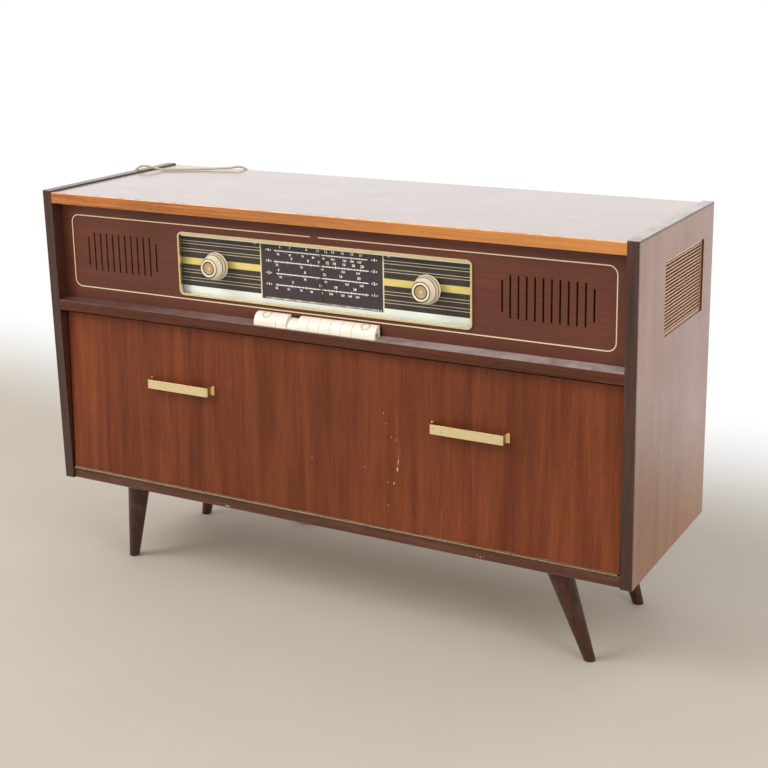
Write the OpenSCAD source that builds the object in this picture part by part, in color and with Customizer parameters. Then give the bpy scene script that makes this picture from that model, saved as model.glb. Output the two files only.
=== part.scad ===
// Radiogram of about 1960: a long, low music cabinet on four splayed legs. The radio is in the upper
// half, and the record player and the records are behind a drop flap in the lower half.
// All sizes are in millimetres. x runs to the right, y to the back and z up from the floor. Most
// places are given as d, the depth in front of the plane of the back edges, and h, the height above
// the underside of the box.

/* [Cabinet] */
// Width over the side panels
cabinet_width = 1200; // [1160:10:1260]
// Depth from the back edges to the front of the handles
overall_depth = 396; // [396:1:402]
// Height of the side panels
panel_height = 586; // [584:1:600]
// Height of the underside of the box above the floor
leg_height = 182; // [140:1:230]
// Depth of the side panels at their top
depth_top = 394; // [391:1:396]
// Depth of the side panels at their foot
depth_foot = 387; // [386:1:391]
// Thickness of the side panels
side_t = 20; // [18:1:20]
// Thickness of the dark lipping on the side panels' front and top edges
lipping_t = 4; // [2:1:6]
// Height of the side panels' edges above the top
top_step = 3; // [1:1:5]
// Thickness of the top, bottom, shelf and divider
board_t = 18; // [14:1:18]

/* [Legs] */
// Diameter of a leg at its top
leg_top_dia = 45; // [36:1:54]
// Diameter of a leg at the floor
leg_foot_dia = 20; // [14:1:28]
// Distance from the middle to a leg's top
leg_top_x = 451; // [420:1:480]
// Distance from the middle to a leg's foot
leg_foot_x = 501; // [450:1:530]

/* [Flap] */
// Lean of the closed flap, with its top further back
flap_lean = 1.9; // [1:0.1:2.2]
// Height of the flap
flap_height = 319.3; // [300:0.1:319.3]
// Thickness of the flap
flap_t = 18; // [16:1:18]
// Length of a handle
handle_length = 140; // [110:0.5:170]
// Height of a handle's strip
handle_height = 17; // [12:0.2:22]
// Distance from the middle to a handle's middle
handle_x = 302.5; // [240:0.5:380]

/* [Radio] */
// Width of the dial's trim
dial_width = 606; // [600:1:606]
// Height of the dial's trim
dial_height = 120; // [118:1:121]
// Height of the dial's middle above the underside of the box
dial_h = 464.6; // [464:0.1:466]
// Distance from the middle to a knob's axis
knob_x = 218; // [200:1:220]
// Height of the knobs' axes above the underside of the box
knob_h = 466.5; // [464:0.5:470]
// Pitch of the seven narrow keys
key_pitch = 22.5; // [22.2:0.1:22.8]
// Width taken by each of the two wide keys
wide_pitch = 47; // [44:0.5:47]
// Travel of a key about its axle, in degrees
key_travel = 5; // [3:0.5:5]
// Slots in front of each loudspeaker
slot_count = 12; // [8:1:12]
// Slats in each side grille
slat_count = 20; // [12:1:22]

/* [Record player] */
// Diameter of the platter
platter_dia = 254; // [228:1:254]
// Length of the pick-up arm from its pivot to its stylus
arm_length = 212; // [205:1:216]
// Partitions in the record rack
partition_count = 7; // [5:1:9]

/* [Mains lead] */
// Diameter of the lead
cord_dia = 4.5; // [4:0.1:4.5]

/* [Hidden] */

$fn = 48;
eps = 0.02;

// Colours
mahogany = "#5a2c22";
dark_edge = "#2a1713";
lip_orange = "#8a4a2a";
fascia_brown = "#3b1f1a";
leg_brown = "#33201a";
pale_ply = "#c9a877";
brass = "#d2bf86";
ivory = "#efe3c4";
steel = "#9a9a96";
dark_steel = "#4a4a4c";
dial_black = "#211b1a";
cord_beige = "#d9cdb0";
board_brown = "#6b4a33";

// Main planes
back = overall_depth / 2;
half_w = cabinet_width / 2;
inner_x = half_w - side_t;
top_h = panel_height - top_step;
function fy(d) = back - d;
function bz(h) = leg_height + h;
function front_d(h) = depth_foot + (depth_top - depth_foot) * h / panel_height;

// Where the seam of a leg's surface runs, turned off its lean
leg_seam = 90;

// Flap and its hinge: the pin's axis is the flap's own origin, u runs back and v up from it
hinge_d = 385;
hinge_h = 22.5;
pin_r = 1;
knuckle_r = 2.3;
knuckle_count = 24;
leaf_t = 0.8;
leaf_gap = 0.9;
flap_face_u = 2.5;
flap_foot_v = leaf_gap + leaf_t;
flap_x = inner_x - 3;
flap_back_u = flap_face_u + flap_t;
rail_d = hinge_d - flap_face_u;
rail_h = hinge_h - flap_foot_v;
leaf_x = flap_x - 2;

// Shelf between the compartments, and the ledge in front of it
shelf_h = 346;
shelf_top = shelf_h + board_t;
fascia_d = 366;
fascia_t = 8;
ledge_d = 391;
ledge_top = 374.2;
ledge_foot = 350.5;
lip_d = 388.9;
notch_h = 360;
notch_side = 1.5;
board_back_d = 7.5;

// Stays: the flap's pivot and the panel's stud are equally far from the hinge's axis, so a bar from
// one through the other turns exactly half as far as the flap
pivot_u = 30.5;
pivot_v = 147;
stay_a = norm([pivot_u, pivot_v]);
stay_spread = 20;
flap_open = 88;
pivot_angle = atan2(pivot_u, pivot_v) + flap_lean;
stud_angle = pivot_angle + stay_spread;
stay_angle = pivot_angle + stay_spread / 2;
stay_near = 2 * stay_a * sin(stay_spread / 2);
stay_far = 2 * stay_a * sin((stay_spread + flap_open) / 2);
stay_w = 14;
stay_t = 2;
stay_x = 570;
slot_w = 6.8;
stud_r = 3;

// Handles
handle_v = 196.8;
handle_t = 1.8;
handle_foot = 4;
handle_u = -(overall_depth - hinge_d + handle_v * sin(flap_lean)) / cos(flap_lean);

// Dial, in depth from the back: plate, pointer, glass and trim
plate_d = 351.5;
pointer_d = 355.2;
glass_d = 362.5;
glass_t = 3;
trim_d = 369.5;
trim_r = 10;
rim = 2.8;
rim_lip = 0.8;
opening_in = 1.5;
guide_d = 354.5;
guide_h = dial_h + 62.4;
guide_x = 138;
plate_x = dial_width / 2 + 12;
chassis_d = 341;
ring_r = 25.5;
knob_r = 16.4;
knob_front_d = 393;
knob_seat_d = 385;
ring_front_d = 391;
shaft_r = 5;
spindle_r = 3;
running = 0.05;

// Keys
key_axle_d = 305;
key_axle_h = 380;
axle_r = 2;
key_gap = 0.8;
key_wall = 2.2;
key_side = 1.2;
key_back_d = 369;
key_foot_h = 369.5;
nose_d = 371;
nose_h = 373;
nose_reach = 17.5;
nose_rise = 20.3;
lever_w = 8;
bank_w = 7 * key_pitch + 2 * wide_pitch;
key_widths = [wide_pitch, for (i = [1:7]) key_pitch, wide_pitch];
pressed_key = 3;
function key_left(i) = i == 0 ? -bank_w / 2 : key_left(i - 1) + key_widths[i - 1];

// Loudspeakers, slots and side grilles
speaker_x = 437;
speaker_h = 468.5;
slot_pitch = 14.7;
slot_open = 3.4;
grille_d = 157;
grille_h = 464.5;
grille_w = 208;
grille_tall = 129;

// Record player
deck_h = 110;
platter_x = -310;
platter_d = 170;
motor_x = platter_x + 78;
motor_d = platter_d - 56;
arm_x = -140;
arm_d = 75;
arm_h = 152;
platter_top = deck_h + 25;
spindle_pin_r = 3.6;
rack_x = 110;
rack_pitch = 420 / (partition_count - 1);

// Mains lead: hand-laid route of its free length, with y from the plane of the back edges, and the
// coil on the floor behind the cabinet
gland_x = -520;
gland_h = 430;
gland_out = 25.5;
coil_x = -322;
coil_y = back + 32.5;
coil_r = 29;
coil_step = 5;
coil_rise = 4.95;
coil_turns = 4;
coil_rings = 24;
floor_z = 2.3;
route_points = [
    [-520, 25.5, 612], [-520, 35.5, 612], [-522, 47, 611.2], [-529.5, 58.3, 608],
    [-543.5, 66.1, 603], [-563, 67.5, 597], [-587, 55.5, 590], [-606, 33.5, 587], [-614, 4.5, 588],
    [-614, -26.5, 601], [-611, -54.5, 634], [-608.4, -80.4, 680.1], [-618.1, -101.3, 723.9],
    [-615.5, -104.1, 750.7], [-607.1, -103.7, 765.6], [-595.2, -101.8, 773.8],
    [-580.8, -98.5, 775.7], [-563.6, -93, 771.8], [-548.7, -85.7, 768], [-532.9, -77.8, 768],
    [-514.7, -67.6, 767.8], [-492.1, -55.5, 768], [-467.7, -42.4, 768.3], [-444.4, -31.5, 769.5],
    [-425.8, -20.9, 770], [-412.7, -9.7, 771.6], [-403.5, -0.1, 768.5], [-396.4, 7.7, 760.3],
    [-392.4, 12.6, 747.5], [-392.3, 13.5, 728.9], [-397, 6.9, 690], [-397, 4.5, 600],
    [-397, 3.5, 400], [-397, 3.5, 180], [-397, 3.5, 80], [-395.5, 3.5, 42], [-385, 3.5, 14.5],
    [-364, 3.5, 3.4], [-328, 3.5, 2.3]
];
route = [for (p = route_points) p + [0, back, 0]];

// ---------------------------------------------------------------- shapes shared by the parts

// A block between two x, two depths and two heights
module block(x0, x1, d0, d1, h0, h1) {
    translate([x0, fy(d1), bz(h0)])
        cube([x1 - x0, d1 - d0, h1 - h0]);
}

// Carries an outline in y and z along x
module along_x(x0, length) {
    translate([x0, 0, 0])
        rotate([90, 0, 90])
            linear_extrude(length)
                children();
}

// Carries an outline in x and z forwards from depth d
module forwards(d, length) {
    translate([0, fy(d), 0])
        rotate([90, 0, 0])
            linear_extrude(length)
                children();
}

// Turns a profile of radius and reach about an axis that points forwards from depth d
module turned_forwards(x, h, d) {
    translate([x, fy(d), bz(h)])
        rotate([90, 0, 0])
            rotate_extrude()
                children();
}

// A round bar or hole along x at a depth and height
module bar_x(x0, x1, d, h, r) {
    translate([x0, fy(d), bz(h)])
        rotate([0, 90, 0])
            cylinder(h = x1 - x0, r = r);
}

// A rectangle with round corners, centred
module round_rect(w, h, r) {
    square([w - 2 * r, h], center = true);
    square([w, h - 2 * r], center = true);
    for (x = [-1, 1], y = [-1, 1])
        translate([x * (w / 2 - r), y * (h / 2 - r)])
            circle(r);
}

// The trim's outline, drawn in all round
module trim_shape(in) {
    round_rect(dial_width - 2 * in, dial_height - 2 * in, trim_r - in);
}

// An upright slot with round ends, centred
module slot_shape(w, h) {
    square([w, h - w], center = true);
    for (s = [-1, 1])
        translate([0, s * (h - w) / 2])
            circle(w / 2, $fn = 24);
}

// Puts the flap's own frame at its hinge, leaning back
module in_flap() {
    translate([0, fy(hinge_d), bz(hinge_h)])
        rotate([-flap_lean, 0, 0])
            children();
}

// Points of an arc about a centre
function arc(c, r, a0, a1, n) =
    [for (i = [0:n]) let (a = a0 + (a1 - a0) * i / n) c + r * [cos(a), sin(a)]];

// ---------------------------------------------------------------- cabinet

// Side panel of veneered board, inside its lipping, with the grille's opening
module side_panel(side) {
    h1 = panel_height - lipping_t;
    color(mahogany)
        difference() {
            along_x(side > 0 ? inner_x : -half_w, side_t)
                polygon([
                    [fy(0), bz(0)], [fy(front_d(0) - lipping_t), bz(0)],
                    [fy(front_d(h1) - lipping_t), bz(h1)], [fy(0), bz(h1)]
                ]);
            block(side * half_w - side_t - 1, side * half_w + side_t + 1,
                grille_d - grille_w / 2, grille_d + grille_w / 2,
                grille_h - grille_tall / 2, grille_h + grille_tall / 2);
        }
}

// Solid lipping up the front edge and back along the top edge of each side panel
module side_lippings() {
    h1 = panel_height - lipping_t;
    nose = 1.5;
    color(dark_edge)
        for (x = [-half_w, inner_x])
            along_x(x, side_t)
                polygon(concat(
                    [
                        [fy(0), bz(h1)], [fy(front_d(h1) - lipping_t), bz(h1)],
                        [fy(front_d(0) - lipping_t), bz(0)], [fy(front_d(0)), bz(0)]
                    ],
                    arc([fy(depth_top - nose), bz(panel_height - nose)], nose, 180, 90, 6),
                    [[fy(0), bz(panel_height)]]
                ));
}

// Top between the side panels
module top_panel() {
    color(mahogany)
        block(-inner_x, inner_x, 0, depth_top - 6.5, top_h - board_t, top_h);
}

// Lighter lipping on the front of the top, with a rounded upper edge
module top_front_lipping() {
    nose = 2.5;
    color(lip_orange)
        along_x(-inner_x, 2 * inner_x)
            polygon(concat(
                [
                    [fy(depth_top - 6.5), bz(top_h)], [fy(depth_top - 6.5), bz(top_h - 21)],
                    [fy(depth_top - 0.5), bz(top_h - 21)]
                ],
                arc([fy(depth_top - 0.5 - nose), bz(top_h - nose)], nose, 180, 90, 6)
            ));
}

module bottom_panel() {
    color(pale_ply)
        block(-inner_x, inner_x, board_back_d, rail_d - flap_t, 0, board_t);
}

// Rail under the flap that carries its hinge
module bottom_rail() {
    color(mahogany)
        along_x(-inner_x, 2 * inner_x)
            polygon([
                [fy(rail_d - flap_t), bz(0)], [fy(rail_d - 1.5), bz(0)], [fy(rail_d), bz(1.5)],
                [fy(rail_d), bz(rail_h)], [fy(rail_d - flap_t), bz(rail_h)]
            ]);
}

// Hardboard back, with rows of air slots behind the radio and behind the record player
module back_panel() {
    slot_tall = 46;
    color(board_brown)
        difference() {
            block(-inner_x, inner_x, board_back_d - 4, board_back_d, 2, top_h - board_t);
            forwards(0, 10) {
                for (i = [-14:14], h = [435, 495])
                    translate([i * 22, bz(h)])
                        slot_shape(6, slot_tall);
                for (i = [-6:6])
                    translate([platter_x + i * 22, bz(62)])
                        slot_shape(6, slot_tall);
            }
            translate([gland_x, fy(0), bz(gland_h)])
                rotate([90, 0, 0])
                    cylinder(h = 10, r = 7);
        }
}

// Dark front of the radio, cut for the dial, the loudspeaker slots and the key levers
module fascia_panel() {
    last = slot_count - 1;
    color(fascia_brown)
        difference() {
            block(-inner_x, inner_x, fascia_d - fascia_t, fascia_d, shelf_top, top_h - board_t);
            forwards(fascia_d - fascia_t - 1, fascia_t + 2) {
                translate([0, bz(dial_h)])
                    trim_shape(opening_in);
                for (side = [-1, 1], i = [0:last])
                    translate([side * speaker_x + (i - last / 2) * slot_pitch, bz(speaker_h)])
                        slot_shape(slot_open, i == 0 || i == last ? 56 : 74.5);
                translate([-bank_w / 2 - 2, bz(shelf_top - 1)])
                    square([bank_w + 4, 27]);
            }
        }
}

// Moulding along the front of the shelf, with a sloped top and a pocket for the keys behind its lip
module key_ledge() {
    side = bank_w / 2 + notch_side;
    color(fascia_brown)
        difference() {
            along_x(-inner_x, 2 * inner_x)
                polygon(concat(
                    [[fy(fascia_d), bz(ledge_foot)]],
                    arc([fy(ledge_d - 1.5), bz(ledge_foot + 1.5)], 1.5, 270, 180, 4),
                    arc([fy(ledge_d - 2.5), bz(368.3)], 2.5, 180, 98, 5),
                    [[fy(fascia_d), bz(ledge_top)]]
                ));
            block(-side, side, fascia_d - 1, lip_d, notch_h, ledge_top + 1);
        }
}

// Shelf that carries the radio over the lower compartment
module radio_shelf() {
    color(pale_ply)
        block(-inner_x, inner_x, board_back_d, fascia_d, shelf_h, shelf_top);
}

module compartment_divider() {
    color(pale_ply)
        block(64, 64 + board_t, board_back_d, 340, board_t, shelf_h);
}

// Louvred grille in a side panel, a little below the panel's face
module side_grille(side) {
    rim = 5;
    x0 = side > 0 ? half_w - 11 : -half_w + 3;
    pitch = (grille_tall - 2 * rim) / slat_count;
    color(brass) {
        along_x(x0, 8)
            translate([fy(grille_d), bz(grille_h)])
                difference() {
                    square([grille_w, grille_tall], center = true);
                    square([grille_w - 2 * rim, grille_tall - 2 * rim], center = true);
                }
        for (i = [0:slat_count - 1])
            translate([0, fy(grille_d), bz(grille_h)])
                rotate([90, 0, 0])
                    linear_extrude(grille_w - 2 * rim + 0.4, center = true)
                        let (z = (i + 0.5) * pitch - grille_tall / 2 + rim, x = x0 + 4)
                            polygon([
                                [x - side * 3, z + 0.4], [x - side * 3, z + 2.2],
                                [x + side * 3.2, z + 0.6], [x + side * 3.2, z - 1.6]
                            ]);
    }
}

// Tapered leg from its foot on the floor to its plate
module leg(side, top_d, foot_d) {
    foot = [side * leg_foot_x, fy(foot_d), 0];
    top = [side * leg_top_x, fy(top_d), leg_height];
    v = top - foot;
    long = norm(v);
    over = 0.15;
    taper = (leg_top_dia - leg_foot_dia) / 2 * over;
    color(leg_brown)
        intersection() {
            translate(foot - v * over)
                rotate([0, acos(v.z / long), atan2(v.y, v.x)])
                    rotate(leg_seam)
                        cylinder(h = long * (1 + 2 * over), r1 = leg_foot_dia / 2 - taper,
                            r2 = leg_top_dia / 2 + taper);
            translate([-half_w, -back, 0])
                cube([cabinet_width, overall_depth, leg_height - 3]);
        }
}

// Steel plates that the legs screw into, each held by four screws
module leg_plates() {
    color(dark_steel)
        for (side = [-1, 1], d = [338, 76])
            translate([side * leg_top_x, fy(d), leg_height - 3])
                linear_extrude(3)
                    difference() {
                        round_rect(74, 74, 8);
                        for (x = [-1, 1], y = [-1, 1])
                            translate([x * 28, y * 28])
                                circle(2.2, $fn = 24);
                    }
}

// ---------------------------------------------------------------- flap, hinge and stays

// Places of the hinge's knuckles: even ones are on the rail, odd ones on the flap
module knuckles(first) {
    pitch = 2 * leaf_x / knuckle_count;
    for (i = [first:2:knuckle_count - 1])
        translate([-leaf_x + i * pitch + 0.3, 0, 0])
            children();
}

// A knuckle with the tab that joins it to its leaf, which starts at height v
module knuckle(v) {
    width = 2 * leaf_x / knuckle_count - 0.6;
    rotate([0, 90, 0])
        cylinder(h = width, r = knuckle_r, $fn = 24);
    translate([0, 0, v])
        cube([width, 3.2, leaf_t]);
}

// The pin's own space along the whole hinge
module hinge_bar(r, over) {
    translate([-leaf_x - over, 0, 0])
        rotate([0, 90, 0])
            cylinder(h = 2 * (leaf_x + over), r = r, $fn = 24);
}

// Fixed leaf of the piano hinge on the rail, with the pin swaged into its knuckles
module flap_hinge_fixed() {
    color(brass)
        translate([0, fy(hinge_d), bz(hinge_h)]) {
            knuckles(0)
                knuckle(-flap_foot_v);
            translate([-leaf_x, 3, -flap_foot_v])
                cube([2 * leaf_x, 15, leaf_t]);
            hinge_bar(pin_r, 0);
        }
}

// Moving leaf on the foot of the flap
module flap_hinge_leaf() {
    color(brass)
        in_flap()
            difference() {
                union() {
                    knuckles(1)
                        knuckle(leaf_gap);
                    translate([-leaf_x, 3, leaf_gap])
                        cube([2 * leaf_x, 15, leaf_t]);
                }
                hinge_bar(pin_r + running, 1);
            }
}

// Drop flap of veneered board
module flap_panel() {
    color(mahogany)
        in_flap()
            translate([-flap_x, flap_face_u, flap_foot_v])
                cube([2 * flap_x, flap_t, flap_height]);
}

// Handle bent from flat strip, with a foot turned outwards at each end
module handle(side) {
    reach = flap_face_u - handle_u;
    bend = 5;
    color(brass)
        in_flap()
            translate([side * handle_x, flap_face_u, handle_v])
                linear_extrude(handle_height) {
                    intersection() {
                        difference() {
                            round_rect(handle_length, 2 * reach, bend);
                            round_rect(handle_length - 2 * handle_t, 2 * (reach - handle_t),
                                bend - handle_t);
                        }
                        translate([-handle_length / 2 - 1, -reach - 1])
                            square([handle_length + 2, reach + 1]);
                    }
                    for (s = [-1, 1])
                        translate([s * (handle_length - handle_t + handle_foot) / 2, -handle_t / 2])
                            square([handle_foot + handle_t, handle_t], center = true);
                }
}

// Steel pieces on the inside of the flap: the stays' brackets and rivets, and the catch plates
module flap_fittings() {
    ear_x = stay_x - 4;
    color(steel)
        in_flap() {
            for (side = [-1, 1])
                mirror([side < 0 ? 1 : 0, 0, 0]) {
                    translate([ear_x - 26, flap_back_u, pivot_v - 20])
                        cube([28, 2, 40]);
                    translate([ear_x, 0, 0])
                        rotate([90, 0, 90])
                            linear_extrude(2) {
                                translate([flap_back_u, pivot_v - 8])
                                    square([pivot_u - flap_back_u, 16]);
                                translate([pivot_u, pivot_v])
                                    circle(8);
                            }
                    translate([ear_x + 1, pivot_u, pivot_v])
                        rotate([0, 90, 0]) {
                            cylinder(h = 7, r = 2.5, $fn = 24);
                            cylinder(h = 2.4, r = 4.5, $fn = 24);
                            translate([0, 0, 5.6])
                                cylinder(h = 1.4, r = 4.5, $fn = 24);
                        }
                }
            for (side = [-1, 1])
                translate([side * 300 - 15, flap_back_u, 303])
                    cube([30, 1.2, 14]);
        }
}

// Slotted stay bar that holds the open flap level
module stay(side) {
    y = fy(hinge_d) + stay_a * sin(pivot_angle);
    z = bz(hinge_h) + stay_a * cos(pivot_angle);
    color(brass)
        along_x(side > 0 ? stay_x : -stay_x - stay_t, stay_t)
            translate([y, z])
                rotate(-stay_angle)
                    difference() {
                        union() {
                            circle(stay_w / 2);
                            translate([0, -stay_w / 2])
                                square([stay_far + 1, stay_w]);
                            translate([stay_far + 1, 0])
                                circle(stay_w / 2);
                        }
                        circle(2.5 + running);
                        translate([(stay_near + stay_far) / 2, 0])
                            rotate(90)
                                slot_shape(slot_w, stay_far - stay_near + slot_w + 2);
                    }
}

// Shouldered studs on the side panels, in the stays' slots
module stay_studs() {
    d = hinge_d - stay_a * sin(stud_angle);
    h = hinge_h + stay_a * cos(stud_angle);
    color(steel)
        for (side = [-1, 1])
            mirror([side < 0 ? 1 : 0, 0, 0]) {
                bar_x(stay_x - 2.6, inner_x, d, h, stud_r);
                bar_x(stay_x - 2.6, stay_x - 0.6, d, h, 6);
                bar_x(inner_x - 4, inner_x, d, h, 8);
            }
}

// Magnet blocks under the shelf that hold the flap shut
module flap_catches() {
    color(dark_steel)
        for (side = [-1, 1])
            block(side * 300 - 20, side * 300 + 20, 330, 352, 330, shelf_h);
}

// ---------------------------------------------------------------- radio

// Metal trim that frames the dial and holds its glass
module dial_frame() {
    glass_front = glass_d + glass_t;
    color(brass) {
        forwards(fascia_d, trim_d - fascia_d)
            translate([0, bz(dial_h)])
                difference() {
                    trim_shape(0);
                    trim_shape(rim);
                }
        forwards(glass_front, trim_d - glass_front)
            translate([0, bz(dial_h)])
                difference() {
                    trim_shape(rim - 0.5);
                    trim_shape(rim + rim_lip);
                }
        forwards(fascia_d - 5, 5)
            translate([0, bz(dial_h)])
                difference() {
                    trim_shape(opening_in + 0.2);
                    trim_shape(rim);
                }
    }
}

// Glass over the scale, bored for the knobs' shafts
module dial_glass() {
    color([0.7, 0.8, 0.8, 0.4])
        forwards(glass_d, glass_t)
            difference() {
                translate([0, bz(dial_h)])
                    trim_shape(rim + 0.2);
                for (side = [-1, 1])
                    translate([side * knob_x, bz(knob_h)])
                        circle(6);
            }
}

// Printed plate behind the glass, with the pointer's guide rod over it
module dial_plate() {
    color(dial_black) {
        forwards(plate_d, 2)
            difference() {
                translate([-plate_x, bz(dial_h - 65)])
                    square([2 * plate_x, 122.5]);
                for (side = [-1, 1])
                    translate([side * knob_x, bz(knob_h)])
                        circle(6);
            }
        for (side = [-1, 1])
            block(side * guide_x - 2, side * guide_x + 2, plate_d, guide_d + 2.5,
                dial_h + 48, guide_h + 4);
        bar_x(-guide_x, guide_x, guide_d, guide_h, 1.5);
    }
}

// Pointer that slides along its rod behind the glass
module dial_pointer() {
    color("#c8452c") {
        difference() {
            block(-6, 6, guide_d - 2.5, guide_d + 2.5, guide_h - 4, guide_h + 4);
            bar_x(-7, 7, guide_d, guide_h, 1.5 + running);
        }
        block(-0.9, 0.9, pointer_d, pointer_d + 1.4, dial_h - 44, guide_h - 3);
    }
}

// Large rear knob on a hollow shaft: flange, drum and tapered rim, with a cup for the front knob
module ring_knob(side) {
    deep = ring_front_d - fascia_d;
    cup = knob_seat_d - fascia_d - 0.6;
    cup_r = knob_r + 0.7;
    shaft = fascia_d - chassis_d;
    bore = spindle_r + running;
    color(ivory)
        turned_forwards(side * knob_x, knob_h, fascia_d)
            polygon([
                [bore, -shaft + 0.5], [shaft_r, -shaft + 0.5], [shaft_r, 0.3], [ring_r - 0.8, 0.3],
                [ring_r, 1.1], [ring_r, 2.9], [ring_r - 0.7, 3.6], [22.2, 3.9], [22.6, 4.8],
                [23, 6], [23, 11.6], [22.4, 13.2], [21.2, 15.6], [19.6, 20], [18.4, deep - 0.6],
                [17.9, deep], [cup_r, deep], [cup_r, cup], [bore, cup]
            ]);
}

// Small front knob on the inner spindle, dished for its metal disc
module front_knob(side) {
    reach = knob_front_d - knob_seat_d;
    inside = knob_seat_d - 323;
    color(ivory)
        turned_forwards(side * knob_x, knob_h, knob_seat_d)
            polygon([
                [0, -inside], [spindle_r, -inside], [spindle_r, 0], [knob_r - 0.8, 0],
                [knob_r, 0.8], [knob_r, reach - 1.4], [knob_r - 0.4, reach - 0.4],
                [knob_r - 1.4, reach], [knob_r - 2.8, reach], [knob_r - 3.2, reach - 0.4],
                [knob_r - 4.2, reach - 2.6], [0, reach - 2.6]
            ]);
}

// Curve of a key's front from the side, drawn in by a wall
function key_nose(in) = [
    for (t = [0:10:90])
        [fy(nose_d + (nose_reach - in) * sin(t)), bz(nose_h + (nose_rise - in) * cos(t))]
];

// Outline of a key's cap from the side, drawn in by a wall and carried on at its back and foot
function key_outline(in, on) = concat(
    [[fy(key_back_d - on), bz(key_foot_h - on)], [fy(key_back_d - on), bz(nose_h + nose_rise - in)]],
    key_nose(in),
    [[fy(nose_d + nose_reach - in), bz(key_foot_h - on)]]
);

// One key: hollow cap, lever with a web under the cap, and a hub on the axle
module key(n) {
    i = n - 1;
    width = key_widths[i] - key_gap;
    x0 = key_left(i) + key_gap / 2;
    middle = x0 + width / 2;
    turn = n == pressed_key ? key_travel : 0;
    hinge = [0, fy(key_axle_d), bz(key_axle_h)];
    color(ivory)
        translate(hinge)
            rotate([turn, 0, 0])
                translate(-hinge) {
                    difference() {
                        along_x(x0, width)
                            polygon(key_outline(0, 0));
                        along_x(x0 + key_side, width - 2 * key_side)
                            polygon(key_outline(key_wall, 1));
                    }
                    difference() {
                        union() {
                            along_x(middle - lever_w / 2, lever_w)
                                polygon(concat(
                                    [
                                        [fy(key_axle_d), bz(376)], [fy(key_axle_d), bz(384)],
                                        [fy(367), bz(384)], [fy(369.5), bz(nose_h + nose_rise - 1)]
                                    ],
                                    key_nose(1),
                                    [[fy(386), bz(371)], [fy(374), bz(371)], [fy(360), bz(376)]]
                                ));
                            bar_x(middle - 8, middle + 8, key_axle_d, key_axle_h, 5.5);
                        }
                        bar_x(middle - 9, middle + 9, key_axle_d, key_axle_h, axle_r + running);
                    }
                    if (n == 1 || n == 9)
                        key_ring(middle);
                }
}

// Raised ring moulded on the curved front of a wide key
module key_ring(x) {
    at = 24;
    lean = atan(tan(at) * nose_rise / nose_reach);
    intersection() {
        along_x(x - 10, 20)
            difference() {
                polygon(key_outline(-0.5, 0));
                polygon(key_outline(1, 1));
            }
        translate([x, fy(nose_d + nose_reach * sin(at)), bz(nose_h + nose_rise * cos(at))])
            rotate([lean, 0, 0])
                difference() {
                    cylinder(h = 12, r = 8.5, center = true);
                    cylinder(h = 14, r = 7, center = true);
                }
    }
}

// Bracket of the key bank: base, cheeks, axle, guide comb and the bars that stop the levers
module key_frame() {
    cheek = bank_w / 2 + 4;
    comb_d = 344;
    color(steel) {
        block(-cheek, cheek, 292, 352, shelf_top, shelf_top + 1.5);
        for (side = [-1, 1])
            block(side * cheek - 1, side * cheek + 1, 296, 350, shelf_top, 393);
        bar_x(-cheek, cheek, key_axle_d, key_axle_h, axle_r);
        bar_x(-cheek, cheek, 332, 386.7, 2.2);
        bar_x(-cheek, cheek, 332, 370.9, 2.2);
        difference() {
            block(-cheek, cheek, comb_d, comb_d + 1.5, shelf_top, 392);
            for (i = [0:8])
                let (middle = key_left(i) + key_widths[i] / 2)
                    block(middle - lever_w / 2 - 0.6, middle + lever_w / 2 + 0.6,
                        comb_d - 1, comb_d + 3, shelf_top + 3, 389);
        }
    }
}

// Chassis: pan on the shelf, cheeks, upright front plate with bushes, and control housings
module radio_chassis() {
    pan_d = 285;
    wall = 1.5;
    color(steel)
        difference() {
            union() {
                difference() {
                    block(-250, 250, 150, pan_d, shelf_top, shelf_top + 46);
                    block(-250 + wall, 250 - wall, 150 + wall, pan_d - wall, shelf_top - 1,
                        shelf_top + 46 - wall);
                }
                for (side = [-1, 1]) {
                    block(side * 249 - 1, side * 249 + 1, pan_d - 1, chassis_d + 1, shelf_top,
                        shelf_top + 46);
                    block(side * 240 - 10, side * 240 + 10, chassis_d, chassis_d + 3, shelf_top, 402);
                    translate([side * knob_x, fy(chassis_d), bz(knob_h)])
                        rotate([-90, 0, 0])
                            cylinder(h = 22, r = 12);
                    for (h = [dial_h - 46, dial_h + 40])
                        translate([side * 262, fy(chassis_d + 1), bz(h)])
                            rotate([90, 0, 0])
                                cylinder(h = plate_d - chassis_d - 1, r = 4, $fn = 24);
                }
                block(-270, 270, chassis_d, chassis_d + 3, 400, 512);
            }
            for (side = [-1, 1])
                translate([side * knob_x, fy(chassis_d + 4), bz(knob_h)])
                    rotate([-90, 0, 0]) {
                        cylinder(h = 4, r = shaft_r + running);
                        cylinder(h = 24, r = spindle_r + running);
                    }
        }
}

// What stands on the chassis: mains transformer, tuning capacitor, two tuned-circuit cans and valves
module valves_and_transformer() {
    h0 = shelf_top + 46;
    color(dark_steel) {
        block(150, 226, 180, 250, h0, h0 + 62);
        block(160, 216, 168, 262, h0 + 10, h0 + 52);
        block(-40, 30, 225, 275, h0, h0 + 42);
        for (x = [-95, 85])
            block(x - 16, x + 16, 190, 222, h0, h0 + 58);
        for (x = [-215, -165, -115, -20, 40])
            translate([x, fy(180), bz(h0)])
                rotate_extrude()
                    polygon([[0, 0], [12, 0], [12, 8], [10.5, 9], [10.5, 44], [8, 51], [3, 54], [0, 58]]);
    }
}

// Round loudspeaker, its rim at the bottom of the profile and its magnet at the top
module loudspeaker(r, deep) {
    rotate_extrude()
        polygon([
            [0, deep * 0.55], [r * 0.28, deep * 0.5], [r * 0.86, 2], [r, 0], [r, 4], [r * 0.9, 5],
            [r * 0.42, deep * 0.66], [r * 0.42, deep], [0, deep]
        ]);
}

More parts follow.
